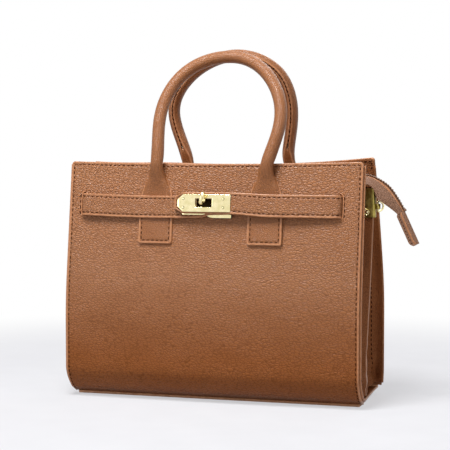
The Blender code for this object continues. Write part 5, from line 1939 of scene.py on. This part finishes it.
@dataclass
class ZipTop:
    """Two sewn flaps with tape and moulded teeth, the piece that stops them at the left, the slider and its pull."""

    finishes: Finishes
    level: float = 214 * MM
    left: float = -118 * MM
    right: float = 124 * MM
    hinge: float = 23.5 * MM
    end: float = -137.3 * MM
    tape: float = 6.6 * MM
    gap: float = 0.3 * MM
    leather: float = 1.2 * MM
    tooth: tuple[float, float, float] = (0.57 * MM, 3.1 * MM, 1.6 * MM)
    tooth_pitch: float = 2.5 * MM
    slider_x: float = -123.6 * MM
    slider_half: float = 5 * MM
    slider_wide: float = 4 * MM
    roof: float = 2.2 * MM
    crown: float = 6.3 * MM
    pull_reach: float = 22 * MM
    pull_half: float = 3 * MM
    pull_wall: float = 1.2 * MM
    pull_level: float = 4.5 * MM
    pull_eye: tuple[float, float] = (-6.1 * MM, -0.75 * MM)

    def build(self) -> None:
        """Builds the closure."""
        for wall in Wall:
            self.flap(wall)
            self.teeth(wall)
        self.end_piece()
        self.slider()
        self.pull()

    def strip(self, width: float, height: float, face: Place, wall: float, edge: Edge, pitch: float) -> Patch:
        """A level patch that is sewn and painted along one edge."""
        edges = frozenset((edge,))
        return Patch(width, height, face, lambda a, b: Vector((0, 0, 1)), wall, edges, edges, pitch=pitch)

    def flap(self, wall: Wall) -> None:
        """Builds a leather flap, its stitches and the textile tape along its inner edge."""
        word, toward, finishes = wall.word, wall.value, self.finishes
        body = f"{word}_flap"
        start, top = ZIP_MIDDLE + toward * self.hinge, self.level + self.leather / 2

        def face(a: float, b: float) -> Vector:
            return Vector((self.left + a if wall is Wall.FRONT else self.right - a, start - toward * b, top))

        patch = self.strip(self.right - self.left, self.hinge - self.tape, face, self.leather, Edge.TOP, 6 * MM)
        piece(
            f"zip_flap_leather_{word}", patch.build(), body, finishes.gusset,
            [f"zip_flap_{word}"],
        )
        seam = Seam()
        seam.row(patch.run((Edge.TOP,)))
        seam.piece(f"zip_flap_stitching_{word}", body, finishes.thread)
        inner, outer = (ZIP_MIDDLE + toward * reach for reach in (self.gap, self.tape + 1.5 * MM))
        woven = plate(
            even(self.left, self.right, 40), even(inner, outer, 6), lambda x, y, z: Vector((x, y, z)),
            self.level - 0.02 * MM, self.level - 0.45 * MM, radius=0.1 * MM,
        )
        piece(f"zip_tape_{word}", woven, body, finishes.tape * 2)

    def teeth(self, wall: Wall) -> None:
        """Builds one side's row of moulded teeth on its cord. The two rows stand in each other's gaps."""
        half, deep, tall = self.tooth
        low = self.level + self.gap - 0.2 * MM
        toward, is_rear = wall.value, wall is Wall.REAR
        start = self.left + 1.1 * MM + is_rear * self.tooth_pitch / 2
        y = ZIP_MIDDLE + toward * 2.4 * MM + (0 if is_rear else deep)
        count = int((self.right - self.left - 3 * MM) / self.tooth_pitch)
        row = copies(
            block((-half, -deep, 0), (half, 0, tall), Matrix.Identity(4), 0.3 * MM, 1),
            [Matrix.Translation((start + index * self.tooth_pitch, y, low + 0.2 * MM)) for index in range(count)],
        )
        cord = block(
            (self.left + 0.5 * MM, -0.7 * MM, -0.1 * MM), (self.right - 0.5 * MM, 0.7 * MM, 1.1 * MM),
            Matrix.Translation((0, ZIP_MIDDLE + toward * 2.2 * MM, low)), 0.4 * MM, 2,
        )
        piece(
            f"zip_chain_{wall.word}", merge([row, cord]), f"{wall.word}_flap", self.finishes.nylon,
            [f"zip_teeth_{wall.word}"], crisp=50,
        )

    def end_piece(self) -> None:
        """Builds the fixed leather piece that closes the zip's left end."""
        def face(a: float, b: float) -> Vector:
            return Vector((self.end + a, ZIP_MIDDLE - self.hinge + b, self.level))

        patch = self.strip(19 * MM, 2 * self.hinge, face, 0.6 * MM, Edge.RIGHT, 5 * MM)
        piece("zip_end_leather", patch.build(), "bag_body", self.finishes.gusset, ["zip_end_left"])

    def slider(self) -> None:
        """Builds the slider: a waisted roof, two skirts beside the teeth and a bridge for the pull."""
        half, roof = self.slider_half, self.roof
        place = Matrix.Translation((self.slider_x, ZIP_MIDDLE, self.level))

        def spot(x: float, share: float, z: float) -> Vector:
            waist = mix(1.0, 0.82, smooth(0.5 - x / (2 * half)))
            return place @ Vector((x, share * self.slider_wide * waist, z))

        cover = slab(
            even(-half, half, 8), even(-1, 1, 8), lambda x, s: spot(x, s, roof + (1.1 - 0.25 * s * s) * MM),
            lambda x, s: spot(x, s, roof), radius=0.35 * MM,
        )
        skirts = [
            plate(
                even(-half + 0.4 * MM, half - 0.4 * MM, 8), even(side * 0.74, side * 0.97, 2), spot,
                roof + 0.3 * MM, 0.35 * MM, radius=0.15 * MM,
            )
            for side in (-1, 1)
        ]
        arch = []
        for turn in even(math.pi, 0, 16):
            reach, rise = math.cos(turn), abs(math.sin(turn)) ** 0.55
            x = 3.3 * MM * math.copysign(abs(reach) ** 0.55, reach)
            arch.append(place @ Vector((x, 0, mix(roof + 0.6 * MM, self.crown, rise))))
        bridge = tube(arch, [0.6 * MM] * len(arch), 10)
        piece(
            "zip_slider_body", merge([cover, *skirts, bridge]), "slider", self.finishes.gold * 2,
            ["zip_slider"], crisp=45,
        )

    def pull(self) -> None:
        """Builds the pull: a flat tag with an eye round the slider's bridge and a rounded far end."""
        reach, half, eye = self.pull_reach, self.pull_half, self.pull_eye
        place = Matrix.Translation((self.slider_x, ZIP_MIDDLE, self.level + self.pull_level))
        side = 1.55 * MM / half

        def spot(x: float, share: float, z: float) -> Vector:
            into = clamp((-reach + half - x) / half)
            neck = mix(1.0, 0.8, smooth((x + 12 * MM) / (4 * MM)) * smooth((eye[0] - x + 4 * MM) / (4 * MM)))
            return place @ Vector((x, share * half * neck * math.sqrt(max(1 - into**2, 0.02)), z))

        tag = plate(
            with_lines([*even(-reach, -reach + half, 8), *even(-reach + half, 0.75 * MM, 12)[1:]], eye),
            with_lines(even(-1, 1, 8), (-side, side)), spot, self.pull_wall / 2, -self.pull_wall / 2,
            hole=lambda x, s: eye[0] < x < eye[1] and abs(s) < side, radius=0.25 * MM,
        )
        piece("zip_pull_tag", tag, "pull", self.finishes.gold * 2, ["zip_pull"], crisp=45)


# Zip tail

@dataclass
class Tail:
    """Free end of the zip, folded over its chain, that hangs down to a folded leather tab."""

    finishes: Finishes
    root: float = 128 * MM
    ridge_z: float = 215.6 * MM
    run: float = 49.5 * MM
    fall: float = 33 * MM
    half: float = 9 * MM
    drop: float = 8.5 * MM
    wall: float = 1.1 * MM
    # The ridge's line, and the fold's depth and width along it, as shares of the four lengths above
    route: tuple[tuple[float, float], ...] = ((0.0, 0.01), (0.28, 0.0), (0.48, 0.1), (0.7, 0.32), (0.875, 0.67), (1, 1))
    drops: tuple[float, ...] = (1.05, 0.92, 0.92, 1.6, 1.2, 0.7)
    spreads: tuple[float, ...] = (0.6, 0.6, 0.75, 1.0, 0.75, 0.35)
    fold: float = 1.5
    teeth: int = 25
    tab_lean: float = 0.46
    tab_length: float = 33.4 * MM
    tab_half: float = 3.25 * MM
    tab_drop: float = 7.6 * MM
    tab_layer: float = 0.62
    tab_seam: float = 0.82

    def build(self) -> None:
        """Builds the tail."""
        self.leaf()
        self.chain()
        self.tab()

    def ridge(self, share: float) -> Vector:
        """Point of the ridge at a share of its length."""
        run, fall = spline(self.route, share)
        return Vector((self.root + run * self.run, ZIP_MIDDLE, self.ridge_z - fall * self.fall))

    def down(self, share: float) -> Vector:
        """Direction from the ridge into the fold."""
        along = self.ridge(min(share + 0.01, 1)) - self.ridge(max(share - 0.01, 0))
        return Vector((along.z, 0, -along.x)).normalized()

    def folded(self, ridge: Vector, down: Vector, half: float, drop: float, lean: float) -> Vector:
        """Point across the fold. The lean runs from -1 at the front edge over the ridge to 1 at the rear edge."""
        return ridge + Vector((0, lean * half, 0)) + down * (drop * abs(lean) ** self.fold)

    def leaf_middle(self, share: float, lean: float) -> Vector:
        """Point of the leaf between its two faces, slightly rippled toward its free edges."""
        half, drop = (
            size * spline([(value, 0) for value in values], share).x
            for size, values in ((self.half, self.spreads), (self.drop, self.drops))
        )
        ripple = 0.4 * MM * math.sin(share * 17 + lean * 1.3) * lean**2
        return self.folded(self.ridge(share), self.down(share), half, drop, lean) + Vector((0, ripple, 0))

    def tab_middle(self, share: float, lean: float) -> Vector:
        """Point of the tab between its two faces. Its end closes to a round point."""
        along = Vector((self.tab_lean, 0, -1)).normalized()
        start = self.ridge(1) - along * (0.3 * MM)
        close = 1 - 0.42 * clamp((share - 0.86) / 0.14) ** 2
        head = 1 - 0.2 * (1 - clamp(share / 0.08)) ** 2
        down = Vector((along.z, 0, -along.x))
        return self.folded(
            start + along * (share * self.tab_length), down, self.tab_half * head, self.tab_drop * close * head, lean,
        )

    def out(self, middle: Place, share: float, lean: float) -> Vector:
        """Direction out of a folded surface."""
        return slope_out(middle, share, lean, (0.01, 0.01), (0, -1), (1, 1))

    def sheath(
        self, name: str, node: str, middle: Place, rows: tuple[int, Sequence[float]], relief: Place,
        painted: tuple[float, float],
    ) -> Place:
        """Builds a folded sheet of soft leather with a painted edge line.

        Args:
            name: The piece's name.
            node: The node that it stands for.
            middle: Points between its two faces.
            rows: Steps along it, and its lines from the front edge to the ridge.
            relief: Half its thickness at the outer and at the inner face, for a share and a lean.
            painted: Leans between which it is painted.

        Returns:
            The points of its outer face.
        """
        def spot(share: float, lean: float, side: float) -> Vector:
            return middle(share, lean) + self.out(middle, share, lean) * relief(share, lean, side)

        leans = [*rows[1], *(-value for value in reversed(rows[1][:-1]))]
        bm = plate(
            even(0, 1, rows[0]), leans, spot, 1.0, -1.0, paint=lambda u, v: painted[0] < abs(v) < painted[1],
            radius=0.2 * MM,
        )
        piece(name, bm, "tail", self.finishes.suede, [node])
        return lambda share, lean: spot(share, lean, 1.0)

    def leaf(self) -> None:
        """Builds the folded leaf, with a thin hem at its bottom and a painted bead beside the chain."""
        def relief(_: float, lean: float, side: float) -> float:
            bead = math.exp(-((abs(lean) - 0.22) / 0.05) ** 2) * 0.45 * MM if side > 0 else 0.0
            hem = smooth((abs(lean) - 0.86) / 0.1) * 0.12 * MM
            return side * (self.wall / 2 - hem) + bead

        leans = (-1, -0.95, -0.9, -0.84, -0.74, -0.62, -0.5, -0.4, -0.33, -0.28, -0.25, -0.22, -0.19, -0.16, -0.1, 0)
        self.sheath("zip_tail_leaf", "zip_tail", self.leaf_middle, (48, leans), relief, (0.17, 0.27))

    def chain(self) -> None:
        """Builds the row of moulded teeth along the ridge, on its cord, with a stop at the end."""
        cord, places = [], []
        for index in range(self.teeth):
            share = (index + 0.5) / self.teeth
            down = self.down(share)
            base = self.ridge(share) - down * (self.wall / 2)
            place = Matrix((Vector((-down.z, 0, down.x)), Vector((0, 1, 0)), -down)).transposed().to_4x4()
            place.translation = base
            places.append(place)
            cord.append(base - down * 0.45 * MM)
        tooth, stop = (
            block(*in_mm(corners), place, radius, steps) for corners, place, radius, steps in (
                (((-0.7, -1.2, 0), (0.7, 1.2, 1.6)), Matrix.Identity(4), 0.3 * MM, 1),
                (((-1.3, -1.7, -0.4), (1.2, 1.7, 2.2)), places[-1], 0.6 * MM, 2),
            )
        )
        core = tube(cord, [0.75 * MM] * len(cord), 8)
        piece(
            "zip_tail_teeth", merge([copies(tooth, places[:-1]), core, stop]), "tail",
            self.finishes.nylon, ["zip_tail_chain"], crisp=50,
        )

    def tab(self) -> None:
        """Builds the tab: a narrow fold in two layers, stitched along its free edges, with a rounded end."""
        def relief(_: float, lean: float, side: float) -> float:
            if side < 0:
                return -self.wall / 2
            step = 0.5 * smooth((self.tab_layer + 0.04 - abs(lean)) / 0.08)
            bead = 0.45 * math.exp(-((abs(lean) - self.tab_layer + 0.05) / 0.05) ** 2)
            return self.wall / 2 + (step + bead) * MM

        leans = (-1, -0.95, -0.88, -0.8, -0.72, -0.67, -0.62, -0.57, -0.52, -0.44, -0.32, -0.2, -0.08, 0)
        face = self.sheath(
            "zip_tail_tab", "zip_tab", self.tab_middle, (28, leans), relief, (0.51, 0.68),
        )
        seam = Seam(pitch=2.9 * MM, length=2.1 * MM, width=0.8 * MM)
        for lean in (-self.tab_seam, self.tab_seam):
            shares = even(0.05, 0.95, 40)
            outs = [self.out(self.tab_middle, share, lean) for share in shares]
            seam.row(([face(share, lean) for share in shares], outs))
        seam.piece("zip_tail_tab_stitching", "tail", self.finishes.thread)


def dress_kept_nodes(finishes: Finishes) -> None:
    """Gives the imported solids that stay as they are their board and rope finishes."""
    for name, material in (
        ("base_board", finishes.board), ("handle_core_front", finishes.rope), ("handle_core_rear", finishes.rope),
    ):
        for slot in frame["nodes"][name].material_slots:
            slot.material = material[0]
        LOG.info("%s keeps its solid", name)


# Studio

LAMPS = (
    # Name, place, the point that it faces, width in metres and power in watts
    ("overhead_softbox", (-0.1, -0.5, 1.12), (0, 0, 0.15), 0.42, 16.4),
    ("front_left_fill", (-1.35, -1.6, 0.5), (0, 0, 0.15), 1.0, 6.0),
    ("right_fill", (1.6, -0.5, 0.7), (0.15, 0, 0.1), 0.8, 5.0),
    ("rear_rim_light", (0.2, 1.4, 1.2), (0, 0, 0.15), 1.0, 9.0),
)


def aimed(item: bpy.types.Object, place: Sequence[float], target: Sequence[float]) -> None:
    """Stands a lamp or camera at a place, facing a point."""
    item.location = place
    item.rotation_euler = (Vector(target) - Vector(place)).to_track_quat("-Z", "Y").to_euler()


@dataclass(frozen=True)
class Studio:
    """Floor, white surroundings, soft lamps and the camera at the photograph's angle."""

    half: float = 3.0
    camera_place: tuple[float, float, float] = (0.41212, -1.35225, 0.24120)
    camera_target: tuple[float, float, float] = (-0.0013, 0.0, 0.1666)
    focal_px: float = 1444.0
    image_px: float = 450.0
    sensor: float = 36.0

    def build(self) -> None:
        """Builds the studio."""
        self.floor()
        self.world()
        for name, place, target, size, power in LAMPS:
            light = bpy.data.lights.new(name, "AREA")
            light.size = size
            light.energy = power
            aimed(placed(name, light), place, target)
        self.camera()

    def floor(self) -> None:
        """Lays the paper floor."""
        lines = even(-self.half, self.half, 8)
        bm = sheet(lines, lines, lambda x, y: Vector((x, y, 0)))
        bmesh.ops.recalc_face_normals(bm, faces=bm.faces)
        floor = placed("paper_floor", stored(bm, "paper_floor"))
        floor.data.materials.append(StudioPaper().build())

    def world(self) -> None:
        """Makes surroundings that the camera, gloss and glass see as white, and that light the bag softly."""
        world = bpy.data.worlds.new("white_studio")
        world.use_nodes = True
        tree = world.node_tree
        tree.nodes.clear()
        seen = any_ray(tree, "Is Camera Ray", "Is Transmission Ray", "Is Glossy Ray")
        soft = add_node(tree, "Background", {"Color": linear("#F6F7FA"), "Strength": 0.14})
        white = add_node(tree, "Background", {"Color": WHITE, "Strength": 1.0})
        feed(tree, add_node(tree, "OutputWorld", {}), {
            "Surface": add_node(tree, "MixShader", {0: seen, 1: soft, 2: white}),
        })
        bpy.context.scene.world = world

    def camera(self) -> None:
        """Places the camera and frames the bag as in the photograph."""
        data = bpy.data.cameras.new("product_camera")
        data.sensor_width = self.sensor
        data.lens = self.focal_px / self.image_px * self.sensor
        data.clip_end = 20
        item = placed("product_camera", data)
        aimed(item, self.camera_place, self.camera_target)
        bpy.context.scene.camera = item
        bpy.context.scene.view_settings.view_transform = "Standard"


def main() -> None:
    """Builds the studio and the bag, part by part."""
    logging.basicConfig(level=logging.INFO, format="%(name)s: %(message)s")
    Studio().build()
    finishes = Finishes()
    seam = Seam()
    Shell(finishes, seam).build()
    Handle(Wall.FRONT, "front_handle", FRONT_ROUTE, finishes, apex=330.3 * MM, apex_depth=-13 * MM).build()
    Handle(Wall.REAR, "rear_handle", REAR_ROUTE, finishes, apex=334.2 * MM, apex_depth=11 * MM).build()
    Belt(finishes).build()
    Lock(finishes).build()
    for side in Side:
        Clip(side, finishes).build()
    ZipTop(finishes).build()
    Tail(finishes).build()
    dress_kept_nodes(finishes)
    seam.piece("bag_body_stitching", "bag_body", finishes.thread)


if __name__ == "__main__":
    main()
